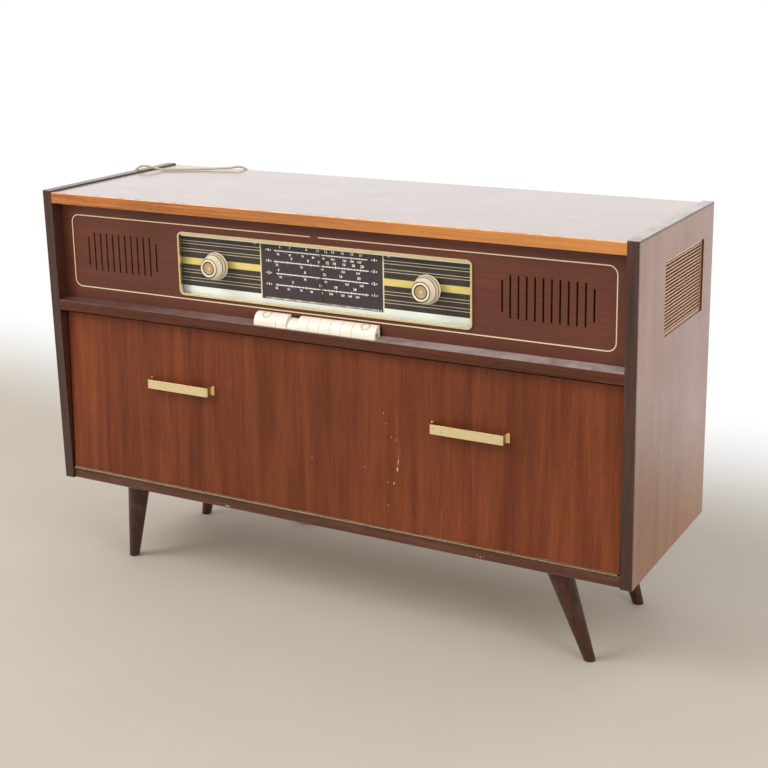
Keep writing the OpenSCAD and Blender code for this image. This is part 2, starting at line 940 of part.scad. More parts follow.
module loudspeakers() {
    color(dark_steel)
        for (side = [-1, 1]) {
            translate([side * speaker_x, fy(fascia_d - fascia_t), bz(speaker_h)])
                rotate([-90, 0, 0])
                    loudspeaker(80, 76);
            translate([side * inner_x, fy(grille_d), bz(grille_h)])
                rotate([0, -side * 90, 0])
                    loudspeaker(70, 56);
        }
}

// ---------------------------------------------------------------- record player and rack

// Raised motor board on two runners and a front board
module deck_plinth() {
    t = 12;
    x0 = -558;
    x1 = 60;
    color(pale_ply)
        difference() {
            block(x0, x1, 14, 335, board_t, deck_h);
            block(x0 + t, x1 - t, 13, 335 - t, board_t - 1, deck_h - t);
            translate([motor_x, fy(motor_d), bz(deck_h - t - 1)])
                cylinder(h = t + 2, r = 40);
        }
}

// Pressed deck plate with the centre spindle, the arm's base and pin, and the arm's rest
module deck_plate() {
    deck_w = 390;
    deck_deep = 296;
    color(ivory) {
        translate([platter_x + 55, fy(172), bz(deck_h)]) {
            difference() {
                linear_extrude(6)
                    round_rect(deck_w, deck_deep, 24);
                translate([0, 0, 3])
                    linear_extrude(4)
                        round_rect(deck_w - 8, deck_deep - 8, 20);
            }
        }
        translate([platter_x, fy(platter_d), bz(deck_h)]) {
            cylinder(h = 7.7, r = 16);
            cylinder(h = 37, r = spindle_pin_r);
        }
        translate([arm_x, fy(arm_d), bz(deck_h)]) {
            cylinder(h = 10, r1 = 22, r2 = 20);
            cylinder(h = arm_h - 11.5 - deck_h, r = 15);
            cylinder(h = arm_h + 9 - deck_h, r = 3);
        }
        translate([arm_x, fy(arm_d + 160), bz(deck_h)]) {
            cylinder(h = arm_h - deck_h - 8, r = 4);
            translate([-9, -5, arm_h - deck_h - 14])
                difference() {
                    cube([18, 10, 13]);
                    translate([-1, -1, 8.6])
                        cube([16, 12, 5]);
                }
        }
    }
}

// Platter with its rim, ribbed mat and bearing, on the centre spindle
module platter() {
    r = platter_dia / 2;
    low = deck_h + 8;
    hub = 12;
    rim = platter_top - low;
    color(dark_steel)
        translate([platter_x, fy(platter_d), bz(low)])
            rotate_extrude($fn = 72)
                polygon([
                    [spindle_pin_r + running, 0], [hub, 0], [hub, rim - 7], [r - 7, rim - 7],
                    [r - 7, 0], [r - 2, 0], [r, 2], [r, rim - 4], [r - 2, rim - 2], [r - 4, rim - 2],
                    [r - 4, rim], [r - 34, rim], [r - 35, rim - 0.8], [r - 37, rim - 0.8], [r - 38, rim],
                    [r - 66, rim], [r - 67, rim - 0.8], [r - 69, rim - 0.8], [r - 70, rim],
                    [18, rim], [17, rim - 1.5], [spindle_pin_r + running, rim - 1.5]
                ]);
}

// Motor hung under the deck plate, with its shaft up inside the platter's rim
module deck_motor() {
    color(dark_steel)
        translate([motor_x, fy(motor_d), 0]) {
            translate([0, 0, bz(34)])
                cylinder(h = deck_h - 36 - 12, r = 44);
            translate([0, 0, bz(deck_h - 16)])
                cylinder(h = 13, r = 30);
            translate([0, 0, bz(deck_h - 4)])
                cylinder(h = 4, r = 8);
        }
}

// Pick-up arm: hub on the pin, tapered arm, head with its stylus and finger lift, and the tail weight
module tonearm() {
    color(ivory)
        translate([arm_x, fy(arm_d), bz(arm_h)])
            difference() {
                union() {
                    translate([0, 0, -11])
                        cylinder(h = 22, r = 13);
                    rotate([90, 0, 0])
                        cylinder(h = arm_length - 32, r1 = 6, r2 = 4.5);
                    rotate([-90, 0, 0]) {
                        cylinder(h = 34, r = 6);
                        translate([0, 0, 22])
                            cylinder(h = 18, r = 10);
                    }
                    translate([-9, -arm_length - 8, -7])
                        cube([18, 46, 12]);
                    translate([-1.2, -arm_length - 0.8, -12.5])
                        cube([2.4, 1.6, 6]);
                    translate([8, -arm_length + 4, 1])
                        cube([14, 8, 1.6]);
                }
                translate([0, 0, -12])
                    cylinder(h = 24, r = 3 + running);
            }
}

// Rack with scooped partitions for records on edge
module record_rack() {
    base_t = 8;
    sheet = 5;
    low = board_t + base_t;
    tall = 200;
    last = partition_count - 1;
    color(pale_ply) {
        block(rack_x - 8, rack_x + last * rack_pitch + sheet + 8, 20, 335, board_t, low);
        for (i = [0:last])
            along_x(rack_x + i * rack_pitch, sheet)
                polygon(concat(
                    [[fy(24), bz(low - 1)], [fy(326), bz(low - 1)], [fy(326), bz(low + 30)]],
                    [for (a = [10:10:90])
                        [fy(136 + 190 * cos(a)), bz(low + 30 + (tall - 30) * sin(a))]],
                    [[fy(24), bz(low + tall)]]
                ));
    }
}

// ---------------------------------------------------------------- mains lead

// Tapered strain relief through the back
module cord_gland() {
    color(dark_steel)
        translate([gland_x, fy(0), bz(gland_h)])
            rotate([-90, 0, 0])
                rotate_extrude()
                    polygon([
                        [0, -10], [10, -10], [10, -board_back_d], [6.95, -board_back_d],
                        [6.95, 4 - board_back_d], [9, 4 - board_back_d], [9, -1], [6, 1.5],
                        [3.4, gland_out], [0, gland_out]
                    ]);
}

// Points on a smooth curve through the route's own points
function spline(p, i, t) =
    let (
        a = p[max(i - 1, 0)],
        b = p[i],
        c = p[i + 1],
        d = p[min(i + 2, len(p) - 1)],
        m = (c - a) / 2,
        n = (d - b) / 2
    )
    b * (2 * pow(t, 3) - 3 * pow(t, 2) + 1) + m * (pow(t, 3) - 2 * pow(t, 2) + t)
    + c * (3 * pow(t, 2) - 2 * pow(t, 3)) + n * (pow(t, 3) - pow(t, 2));
function smooth(p, per) = concat(
    [for (i = [0:len(p) - 2], k = [0:per - 1]) spline(p, i, k / per)],
    [p[len(p) - 1]]
);

// Unit vector, and the direction of a path at each of its points
function unit(v) = v / norm(v);
function heading(p, i) = unit(p[min(i + 1, len(p) - 1)] - p[max(i - 1, 0)]);

// Side vectors carried along a path without twist
function carried(p, i, side) =
    i == len(p) ? [] :
    let (t = heading(p, i), s = unit(side - (side * t) * t))
    concat([s], carried(p, i + 1, s));

// Round tube along a path, as one skin of triangles
module tube(p, r, sides, first_side) {
    n = len(p);
    side = carried(p, 0, first_side);
    points = [
        for (i = [0:n - 1])
            let (t = heading(p, i), u = side[i], v = cross(t, u))
                for (k = [0:sides - 1])
                    p[i] + r * (cos(360 * k / sides) * u + sin(360 * k / sides) * v)
    ];
    skin = [
        for (i = [0:n - 2], k = [0:sides - 1])
            let (a = i * sides + k, b = i * sides + (k + 1) % sides)
                each [[a, b + sides, b], [a, a + sides, b + sides]]
    ];
    caps = [
        [for (k = [0:sides - 1]) k],
        [for (k = [sides - 1:-1:0]) (n - 1) * sides + k]
    ];
    polyhedron(points, concat(skin, caps), convexity = 6);
}

// Coil of two layers: it winds in, climbs in the half turn where it reverses, and winds out again
coil_count = coil_turns * coil_rings;
coil_path = concat(
    [[coil_x - 6, coil_y - coil_r, floor_z]],
    [
        for (i = [0:coil_count])
            let (
                turn = i / coil_rings,
                rho = coil_r - coil_step * min(turn, coil_turns - turn),
                climb = min(max(turn - coil_turns / 2 + 0.25, 0) * 2, 1),
                a = 270 + 360 * turn
            )
                [
                    coil_x + rho * cos(a), coil_y + rho * sin(a),
                    floor_z + coil_rise * climb * climb * (3 - 2 * climb)
                ]
    ],
    [[coil_x + 8, coil_y - coil_r, 7.6], [coil_x + 16, coil_y - coil_r, 8]]
);
coil_gap = min([
    for (i = [0:2:len(coil_path) - 1], k = [i + 12:len(coil_path) - 1])
        norm(coil_path[i] - coil_path[k])
]) - cord_dia;

module mains_cord() {
    color(cord_beige)
        tube(smooth(route, 2), cord_dia / 2, 8, [0, 0, 1]);
}

module cord_coil() {
    echo(str("least gap in the coil: ", coil_gap, " mm"));
    color(cord_beige)
        tube(coil_path, cord_dia / 2, 6, [0, 0, 1]);
}

// Flat two-pin plug lying on the floor
module mains_plug() {
    x0 = coil_x + 16;
    color(ivory)
        translate([x0, coil_y - coil_r, 8]) {
            rotate([0, 90, 0])
                cylinder(h = 12, r1 = 3.4, r2 = 5.5, $fn = 32);
            translate([0, 0, -7.9])
                linear_extrude(15.8)
                    polygon(concat(
                        [[10, -5]], arc([22, -8.5], 6.5, 230, 270, 4), arc([44, -11], 5, 270, 360, 5),
                        arc([44, 11], 5, 0, 90, 5), arc([22, 8.5], 6.5, 90, 130, 4), [[10, 5]]
                    ));
        }
    color(brass)
        for (s = [-1, 1])
            translate([x0 + 48, coil_y - coil_r + s * 9.5, 8])
                rotate([0, 90, 0])
                    cylinder(h = 20, r = 2, $fn = 24);
}

// ---------------------------------------------------------------- the pieces

side_panel(-1);  // side_panel_left
side_panel(1);  // side_panel_right
side_lippings();
top_panel();
top_front_lipping();
bottom_panel();
bottom_rail();
back_panel();
fascia_panel();
key_ledge();
radio_shelf();
compartment_divider();
deck_plinth();
deck_plate();
side_grille(-1);  // side_grille_left
side_grille(1);  // side_grille_right
record_rack();
leg(-1, 340, 309);  // leg_front_left
leg(1, 340, 309);  // leg_front_right
leg(-1, 78, 57);  // leg_back_left
leg(1, 78, 57);  // leg_back_right
leg_plates();
flap_hinge_fixed();
flap_catches();
stay_studs();
dial_frame();
dial_glass();
dial_plate();
key_frame();
radio_chassis();
valves_and_transformer();
loudspeakers();
deck_motor();
cord_gland();
mains_cord();
cord_coil();
mains_plug();
flap_panel();
flap_hinge_leaf();
handle(-1);  // handle_left
handle(1);  // handle_right
flap_fittings();
stay(-1);  // stay_left
stay(1);  // stay_right
front_knob(-1);  // volume_knob
ring_knob(-1);  // bass_ring
front_knob(1);  // tuning_knob
ring_knob(1);  // treble_ring
dial_pointer();
key(1);  // key_1
key(2);  // key_2
key(3);  // key_3
key(4);  // key_4
key(5);  // key_5
key(6);  // key_6
key(7);  // key_7
key(8);  // key_8
key(9);  // key_9
platter();
tonearm();
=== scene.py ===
"""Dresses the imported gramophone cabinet: its woods, its radio front, its record player, its mains lead
and the studio that it stands in. All sizes are in metres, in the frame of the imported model."""

import math

import bpy
import numpy as np
from bpy.props import FloatProperty, FloatVectorProperty, IntProperty, PointerProperty
from mathutils import Matrix, Vector


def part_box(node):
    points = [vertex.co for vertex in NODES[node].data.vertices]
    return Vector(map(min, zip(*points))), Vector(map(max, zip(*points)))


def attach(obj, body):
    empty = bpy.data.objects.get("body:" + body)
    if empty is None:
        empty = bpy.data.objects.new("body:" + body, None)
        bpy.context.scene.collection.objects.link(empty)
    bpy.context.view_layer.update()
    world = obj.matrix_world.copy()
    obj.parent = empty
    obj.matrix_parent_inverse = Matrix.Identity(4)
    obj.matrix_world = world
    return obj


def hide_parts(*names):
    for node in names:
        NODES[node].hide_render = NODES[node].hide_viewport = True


bl_info = {
    "name": "Gramophone cabinet looks",
    "version": (1, 0, 0),
    "blender": (4, 5, 0),
    "location": "View3D > Sidebar > Gramophone",
    "description": "Finishes and fine pieces for a radiogram cabinet of about 1960",
    "category": "Object",
}

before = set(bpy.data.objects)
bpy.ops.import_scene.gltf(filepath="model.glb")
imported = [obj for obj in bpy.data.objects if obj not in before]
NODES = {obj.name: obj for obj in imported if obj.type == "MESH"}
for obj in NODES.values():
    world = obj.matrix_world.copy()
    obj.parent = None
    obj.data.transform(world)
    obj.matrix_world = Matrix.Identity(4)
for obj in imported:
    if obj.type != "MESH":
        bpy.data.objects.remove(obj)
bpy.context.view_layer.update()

# Main places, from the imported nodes
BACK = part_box("side_panel_right")[1][1]
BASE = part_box("bottom_panel")[0][2]
HALF_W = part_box("side_panel_right")[1][0]
FASCIA_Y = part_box("fascia_panel")[0][1]
FLAP_LEAN = math.radians(1.9)
HINGE = (BACK - 0.385, BASE + 0.0225)


def at_depth(d):
    """The y of a place d millimetres in front of the plane of the back edges."""
    return BACK - d / 1000


def at_height(b):
    """The z of a place b millimetres above the underside of the box."""
    return BASE + b / 1000


SPEAKER_X, SPEAKER_Z = 0.437, at_height(468.5)
KNOB_X, KNOB_Z = 0.218, at_height(466.5)


# ------------------------------------------------------------------ colours, nodes and patterns


def linear(code):
    """A colour's sRGB hex code as linear values, with the standard's two-part curve."""
    parts = [int(code[i : i + 2], 16) / 255 for i in (1, 3, 5)]
    return tuple(c / 12.92 if c <= 0.04045 else ((c + 0.055) / 1.055) ** 2.4 for c in parts)


def rgba(colour):
    """A hex code, one linear grey or three linear values as the four values that a socket takes."""
    if isinstance(colour, str):
        colour = linear(colour)
    elif isinstance(colour, float):
        colour = (colour,) * 3
    return (*tuple(colour)[:3], 1.0)


def add(tree, kind, values=None, out=0, stops=(), **settings):
    """Adds one node and gives that output of it, or the node itself where out is None. Settings are
    its own properties. Values go to its inputs by name or number: as a link where the value is
    another node's output, and as a colour where it is a hex code. Stops are a ramp's places and
    colours."""
    node = tree.nodes.new("ShaderNode" + kind)
    for name, value in settings.items():
        setattr(node, name, value)
    for name, value in (values or {}).items():
        if isinstance(value, bpy.types.NodeSocket):
            tree.links.new(value, node.inputs[name])
        else:
            node.inputs[name].default_value = rgba(value) if isinstance(value, str) else value
    for i, (place, colour) in enumerate(stops):
        node.color_ramp.elements[i].position = place
        node.color_ramp.elements[i].color = rgba(colour)
    return node if out is None else node.outputs[out]


def start(name, colour, roughness, **sockets):
    """A material whose shader has plain values on its own sockets. It gives the material, its
    tree, its shader and the Object coordinates of the piece that wears it."""
    material = bpy.data.materials.new(name)
    material.use_nodes = True
    tree = material.node_tree
    tree.nodes.clear()
    plain = {"Base Color": rgba(colour), "Roughness": roughness}
    plain.update({socket.replace("_", " "): value for socket, value in sockets.items()})
    shader = add(tree, "BsdfPrincipled", plain, out=None)
    add(tree, "OutputMaterial", {0: shader.outputs[0]}, out=None)
    return material, tree, shader, add(tree, "TexCoord", out="Object")


def surface(tree, shader, colour, height, strength, depth, rough=None, normal=None):
    """Puts the patterns of a finish on its shader: its colour, its bumps, and often its roughness."""
    bumps = {"Strength": strength, "Distance": depth, "Height": height}
    if normal is not None:
        bumps["Normal"] = normal
    tree.links.new(colour, shader.inputs["Base Color"])
    tree.links.new(add(tree, "Bump", bumps), shader.inputs["Normal"])
    if rough is not None:
        tree.links.new(rough, shader.inputs["Roughness"])


def patches(tree, where, scale, detail, roughness, *spread):
    """Soft patches. The spread is the two levels of the noise between which they rise, and the two
    values from which and to which they rise."""
    noise = add(tree, "TexNoise", {"Vector": where, "Scale": scale, "Detail": detail,
                                   "Roughness": roughness})
    return add(tree, "MapRange", {"Value": noise, **dict(enumerate(spread, 1))})


def grain(tree, where, along, width, length, detail, roughness=0.5, distortion=0.0):
    """A noise whose cells have that width and, along one axis, that length in metres."""
    cell = [length if axis == along else width for axis in "XYZ"]
    where = add(tree, "VectorMath", {0: where, 1: cell}, operation="DIVIDE")
    return add(tree, "TexNoise", {"Vector": where, "Scale": 1.0, "Detail": detail,
                                  "Roughness": roughness, "Distortion": distortion})


def blots(tree, where, colour, spots):
    """Lays small ragged ellipses of other colours on the leaning front, 9 mm deep at most. Each has
    its middle in x and z, its half width and half height, how far its top leans to the right, and
    its colour. A wide one fades out towards its edge."""
    ragged = 0.0016
    shift = add(tree, "TexNoise", {"Vector": where, "Scale": 900.0, "Detail": 3.0}, out="Color")
    shift = add(tree, "VectorMath", {0: shift, "Scale": ragged}, operation="SCALE")
    point = add(tree, "VectorMath", {0: where, 1: shift}, operation="ADD")
    for x, z, wide, tall, lean, over in spots:
        front = at_depth(383) + math.tan(FLAP_LEAN) * (z - HINGE[1])
        near = add(tree, "Mapping", {"Vector": point, "Location": (x + ragged / 2, front, z + ragged / 2),
                                     "Rotation": (0, lean, 0), "Scale": (wide, 0.009, tall)},
                   vector_type="TEXTURE")
        near = add(tree, "VectorMath", {0: near}, out="Value", operation="LENGTH")
        solid, share = (0.75, 1.0) if wide < 0.0022 else (0.0, 0.7)
        near = add(tree, "MapRange", {"Value": near, 1: solid, 2: 1.05, 3: share, 4: 0.0})
        colour = add(tree, "Mix", {"Factor": near, 6: colour, 7: over}, out=2, data_type="RGBA")
    return colour


def rings(tree, where, colour, marks):
    """Lays thin rings of other colours round places on the front and their mirror places. A mark has
    its middle, with None for y where the rings run straight through the depth as on a turned
    piece, and its rings, each with its inner and outer radius in millimetres and its colour."""
    across, back, up = add(tree, "SeparateXYZ", {0: where}, out=None).outputs
    across = add(tree, "Math", {0: across}, operation="ABSOLUTE")
    mirrored = add(tree, "CombineXYZ", {0: across, 1: back, 2: up})
    for (x, y, z), bands in marks:
        point = add(tree, "VectorMath", {0: mirrored, 1: (x, y or 0.0, z)}, operation="SUBTRACT")
        point = add(tree, "VectorMath", {0: point, 1: (1, float(y is not None), 1)}, operation="MULTIPLY")
        far = add(tree, "VectorMath", {0: point}, out="Value", operation="LENGTH")
        for low, high, over in bands:
            near = add(tree, "Math", {0: far, 1: (low + high) / 2000}, operation="SUBTRACT")
            near = add(tree, "Math", {0: near}, operation="ABSOLUTE")
            near = add(tree, "MapRange", {"Value": near, 1: (high - low) / 2400, 2: (high - low) / 1800,
                                          3: 1.0, 4: 0.0})
            colour = add(tree, "Mix", {"Factor": near, 6: colour, 7: over}, out=2, data_type="RGBA")
    return colour


# ------------------------------------------------------------------ finishes


def veneer(name, dark, light, along, ribbon=0.022, gloss=0.22, coat=0.0, contrast=1.0, wear="#a8754a",
           wear_share=0.35, specular=0.5, grime=0.0, dusty=None, dusty_share=0.0, chips=(),
           fine_dark=0.62, pore_dark=0.5, inner=None, faded=None, worn_edge=None, **sockets):
    """Lacquered striped veneer. The eye gets broad soft ribbons, fine streaks and short open
    pores along the grain, a film that is a little uneven, paler rubbed edges, and on some pieces
    a pale bloom on the faces that look upwards, which is a painted reflection."""
    material, tree, shader, where = start(
        name, light, gloss, Specular_IOR_Level=specular, Coat_Weight=coat, Coat_Roughness=0.14, **sockets)
    x, _, z = add(tree, "SeparateXYZ", {0: where}, out=None).outputs
    broad = grain(tree, where, along, ribbon, ribbon * 26, 3.0, 0.55, 0.25)
    streak = grain(tree, where, along, 0.0034, 0.16, 3.0, 0.6)
    # Real pores are 0.2 mm wide: they are drawn 1.1 mm wide, so that they show
    pore = grain(tree, where, along, 0.0011, 0.013, 1.0)
    figure = add(tree, "TexNoise", {"Vector": where, "Scale": 3.1, "Detail": 2.0})
    half = 0.2 / contrast
    colour = add(tree, "ValToRGB", {0: broad}, stops=((0.5 - half, dark), (0.5 + half, light)))
    for noise, *stops in ((streak, (0.32, fine_dark), (0.68, 1.0)), (pore, (0.58, 1.0), (0.72, pore_dark)),
                          (figure, (0.3, 0.8), (0.7, 1.12))):
        tone = add(tree, "ValToRGB", {0: noise}, stops=stops)
        colour = add(tree, "Mix", {"Factor": 1.0, 6: colour, 7: tone}, out=2, data_type="RGBA",
                     blend_type="MULTIPLY")
    soft = add(tree, "Bevel", {"Radius": 0.0012}, samples=4)
    flat = add(tree, "NewGeometry", out="True Normal")
    turn = add(tree, "VectorMath", {0: soft, 1: flat}, out="Value", operation="DOT_PRODUCT")
    edge = add(tree, "MapRange", {"Value": turn, 1: 0.99, 2: 0.86, 3: 0.0, 4: 1.0})
    rubbed = patches(tree, where, 42.0, 3.0, 0.5, 0.62 - wear_share * 0.4, 0.72, 0.0, wear_share * 1.6)
    layers = [(add(tree, "Math", {0: rubbed, 1: edge}, operation="MULTIPLY", use_clamp=True), wear)]
    if grime:
        cell = add(tree, "VectorMath", {0: where, 1: (0.09, 0.09, 0.03)}, operation="DIVIDE")
        layers.append((patches(tree, cell, 1.0, 5.0, 0.7, 0.52, 0.78, 0.0, grime), "#8d7566"))
    if dusty:
        # Painted reflection: a pale bloom on the faces that look upwards, thinning out towards the left end
        up = add(tree, "SeparateXYZ", {0: add(tree, "NewGeometry", out="Normal")}, out=2)
        up = add(tree, "MapRange", {"Value": up, 1: 0.35, 2: 0.9, 3: 0.0, 4: dusty_share})
        cloud = patches(tree, where, 26.0, 5.0, 0.65, 0.3, 0.62, 0.45, 1.0)
        up_sheen = add(tree, "Math", {0: up, 1: cloud}, operation="MULTIPLY", use_clamp=True)
        right = add(tree, "MapRange", {"Value": x, 1: -0.45, 2: 0.35, 3: 0.1, 4: 1.0})
        layers.append((add(tree, "Math", {0: up_sheen, 1: right}, operation="MULTIPLY"), dusty))
    if faded:
        # Painted highlight: the colour pales towards the right end
        layers.append((add(tree, "MapRange", {"Value": x, 1: -0.45, 2: 0.5, 3: 0.0, 4: 0.6}), faded))
    if worn_edge:
        # The edge above or below that height is paled in broken stretches: rubbed-through wear, with a
        # painted highlight along it
        side, height = worn_edge
        rim = add(tree, "Math", {0: z, 1: height}, operation=side)
        broken = patches(tree, where, 26.0, 5.0, 0.7, 0.42, 0.56, 0.45, 0.9)
        layers.append((add(tree, "Math", {0: rim, 1: broken}, operation="MULTIPLY"), wear))
    if inner:
        # Painted shade: everything but the outer face is darkened
        side = add(tree, "Math", {0: x}, operation="ABSOLUTE")
        layers.append((add(tree, "Math", {0: side, 1: HALF_W - 0.0003}, operation="LESS_THAN"), inner))
    for share, over in layers:
        colour = add(tree, "Mix", {"Factor": share, 6: colour, 7: over}, out=2, data_type="RGBA")
    if chips:
        colour = blots(tree, where, colour, chips)
    rough = patches(tree, where, 9.0, 5.0, 0.65, 0.3, 0.75, gloss * 0.8, gloss * 1.5)
    height = add(tree, "Math", {0: pore, 1: streak}, operation="ADD")
    surface(tree, shader, colour, height, 0.1, 0.0004, rough, soft)
    return material


def metal(name, colour, roughness=0.3, along="X", dull="#7a6a44", dull_share=0.3, marks=()):
    """Brushed, lacquered strip. The eye gets fine lines along it, a soft long highlight, and small
    dull spots where the lacquer has gone."""
    material, tree, shader, where = start(name, colour, roughness, Metallic=1.0)
    lines = grain(tree, where, along, 0.0006, 0.05, 2.0)
    worn = patches(tree, where, 160.0, 4.0, 0.7, 0.55, 0.75, 0.0, dull_share)
    tint = add(tree, "Mix", {"Factor": worn, 6: rgba(colour), 7: dull}, out=2, data_type="RGBA")
    if marks:
        tint = rings(tree, where, tint, marks)
    rough = add(tree, "MapRange", {"Value": lines, 1: 0.3, 2: 0.7, 3: roughness * 0.8, 4: roughness * 1.3})
    surface(tree, shader, tint, lines, 0.12, 0.0001, rough, add(tree, "Bevel", {"Radius": 0.0005}, samples=4))
    return material


def plastic(name, colour, aged, roughness=0.28, mottle=30.0, depth=0.00008, marks=(), **sockets):
    """Moulded plastic. The eye gets an even gloss, faint clouds of yellowing, a very small ripple
    from the mould and soft edges."""
    material, tree, shader, where = start(name, colour, roughness, **sockets)
    cloud = add(tree, "TexNoise", {"Vector": where, "Scale": mottle, "Detail": 4.0, "Roughness": 0.6})
    tint = add(tree, "ValToRGB", {0: cloud}, stops=((0.35, colour), (0.75, aged)))
    if marks:
        tint = rings(tree, where, tint, marks)
    ripple = add(tree, "TexNoise", {"Vector": where, "Scale": 900.0, "Detail": 2.0})
    rough = add(tree, "MapRange", {"Value": cloud, 1: 0.3, 2: 0.75, 3: roughness * 0.85,
                                   4: roughness * 1.35})
    surface(tree, shader, tint, ripple, 0.15, depth, rough, add(tree, "Bevel", {"Radius": 0.0005}, samples=4))
    return material


def ink(name, colour, roughness=0.45, wear="#2a2320", share=0.25, gaps=(), ahead=None):
    """Screen-printed ink on a lacquered plate. The eye gets an even, thin colour that has worn
    through in specks half a millimetre across."""
    material, tree, shader, where = start(name, colour, roughness, Specular_IOR_Level=0.2)
    specks = add(tree, "TexNoise", {"Vector": where, "Scale": 700.0, "Detail": 3.0})
    layers = [(add(tree, "MapRange", {"Value": specks, 1: 0.56, 2: 0.7, 3: 0.0, 4: share}), wear)]
    if ahead:
        # What stands in front of the plate's face has a plain pale colour
        face, pale = ahead
        y = add(tree, "SeparateXYZ", {0: where}, out=1)
        layers.append((add(tree, "Math", {0: y, 1: face}, operation="LESS_THAN"), pale))
    tint = rgba(colour)
    for part, over in layers:
        tint = add(tree, "Mix", {"Factor": part, 6: tint, 7: over}, out=2, data_type="RGBA")
    if gaps:
        tint = blots(tree, where, tint, gaps)
    surface(tree, shader, tint, specks, 0.1, 0.00005)
    return material


def hardboard(name, colour, dark):
    """Pressed fibre board. The eye gets a matt brown felt of short fibres lying all ways."""
    material, tree, shader, where = start(name, colour, 0.8, Specular_IOR_Level=0.25)
    felt = add(tree, "TexNoise", {"Vector": where, "Scale": 420.0, "Detail": 5.0, "Roughness": 0.75,
                                  "Distortion": 1.5})
    cloud = add(tree, "TexNoise", {"Vector": where, "Scale": 7.0, "Detail": 4.0})
    tint = add(tree, "ValToRGB", {0: felt}, stops=((0.35, dark), (0.7, colour)))
    tone = add(tree, "ValToRGB", {0: cloud}, stops=((0.3, 0.75), (0.7, 1.1)))
    tint = add(tree, "Mix", {"Factor": 1.0, 6: tint, 7: tone}, out=2, data_type="RGBA", blend_type="MULTIPLY")
    surface(tree, shader, tint, felt, 0.4, 0.0002)
    return material


def cloth(name, colour, gap):
    """Plain woven loudspeaker cloth. The eye gets a grid of round threads with dark gaps. The
    real thread is 0.4 mm: it is drawn 1.1 mm wide, so that it shows."""
    material, tree, shader, where = start(name, colour, 0.85, Specular_IOR_Level=0.2)
    point = add(tree, "VectorMath", {0: where, "Scale": 2 * math.pi / 0.0011}, operation="SCALE")
    wave = add(tree, "VectorMath", {0: point}, operation="SINE")
    x, y, z = add(tree, "SeparateXYZ", {0: wave}, out=None).outputs
    across = add(tree, "Math", {0: x, 1: y}, operation="ADD")
    weave = add(tree, "Math", {0: across, 1: z}, operation="MULTIPLY")
    tint = add(tree, "ValToRGB", {0: weave}, stops=((0.0, gap), (0.8, colour)))
    surface(tree, shader, tint, weave, 0.5, 0.0003)
    return material


def clear_glass(name, tint):
    """Thin float glass. The eye gets a clear sheet with one clean reflection and faint dust."""
    material, tree, shader, where = start(name, tint, 0.02, IOR=1.3, Transmission_Weight=1.0)
    rough = patches(tree, where, 60.0, 6.0, 0.7, 0.5, 0.8, 0.01, 0.06)
    tree.links.new(rough, shader.inputs["Roughness"])
    return material


FINISH = {}


def finish(name, make, *args, **kwargs):
    """The finish of that name, made the first time that it is asked for."""
    if name not in FINISH:
        FINISH[name] = make(name, *args, **kwargs)
    return FINISH[name]


def wear(nodes, *args, **kwargs):
    """Puts a finish in the material slots of CAD nodes. Their names stand in one line, with spaces
    between, and the other values are those of finish."""
    for name in nodes.split():
        mesh = NODES[name].data
        mesh.materials.clear()
        mesh.materials.append(finish(*args, **kwargs))


# ------------------------------------------------------------------ shapes


def mesh_of(name, points, faces, material, smooth=False):
    """A mesh from an array of points and one or more arrays of faces with equal corners."""
    groups = faces if isinstance(faces, list) else [faces]
    mesh = bpy.data.meshes.new(name)
    mesh.from_pydata(points.tolist(), [], sum((group.tolist() for group in groups), []))
    mesh.polygons.foreach_set("use_smooth", np.full(len(mesh.polygons), smooth))
    mesh.materials.append(material)
    return mesh


def stand(name, data):
    """A new object in the scene, with that mesh, curve, lamp or camera."""
    piece = bpy.data.objects.new(name, data)
    bpy.context.collection.objects.link(piece)
    return piece


def put(name, points, faces, material, body, slot, smooth=False):
    """Makes a piece that rides on a body. Its slot, which material of the record it is, is not used."""
    piece = stand(name, mesh_of(name, points, faces, material, smooth))
    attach(piece, body)
    return piece


def thicken(piece, thickness):
    """Gives a sheet its thickness, away from its outer face."""
    solid = piece.modifiers.new("thickness", "SOLIDIFY")
    solid.thickness, solid.offset = thickness, -1


def grid(rows, cols, close_rows=False, close_cols=False):
    """Four-cornered faces of a grid of points, joined round where it closes."""
    r = np.arange(rows if close_rows else rows - 1)[:, None]
    c = np.arange(cols if close_cols else cols - 1)[None, :]
    r1, c1 = (r + 1) % rows, (c + 1) % cols
    return np.stack([r * cols + c, r * cols + c1, r1 * cols + c1, r1 * cols + c], -1).reshape(-1, 4)


def turned(profile, steps=48, loop=False):
    """A profile of radius and reach turned once about z. An end at radius zero closes in one point,
    and a loop joins its last row to its first."""
    radius, reach = np.asarray(profile, float).T
    rows = radius > 0
    a = np.arange(steps) * 2 * np.pi / steps
    around = radius[rows][:, None, None] * np.stack([np.cos(a), np.sin(a)], -1)[None]
    up = np.broadcast_to(reach[rows][:, None, None], (*around.shape[:2], 1))
    points = np.concatenate([around, up], -1).reshape(-1, 3)
    faces = [grid(rows.sum(), steps, close_rows=loop, close_cols=True)]
    step = np.stack([np.arange(steps), (np.arange(steps) + 1) % steps], -1)
    for end, first in ((0, 0), (-1, (rows.sum() - 1) * steps)):
        if radius[end] == 0:
            fan = np.concatenate([step + first, np.full((steps, 1), len(points))], 1)
            faces.append(fan if end else fan[:, ::-1])
            points = np.concatenate([points, [(0, 0, reach[end])]])
    return points, faces


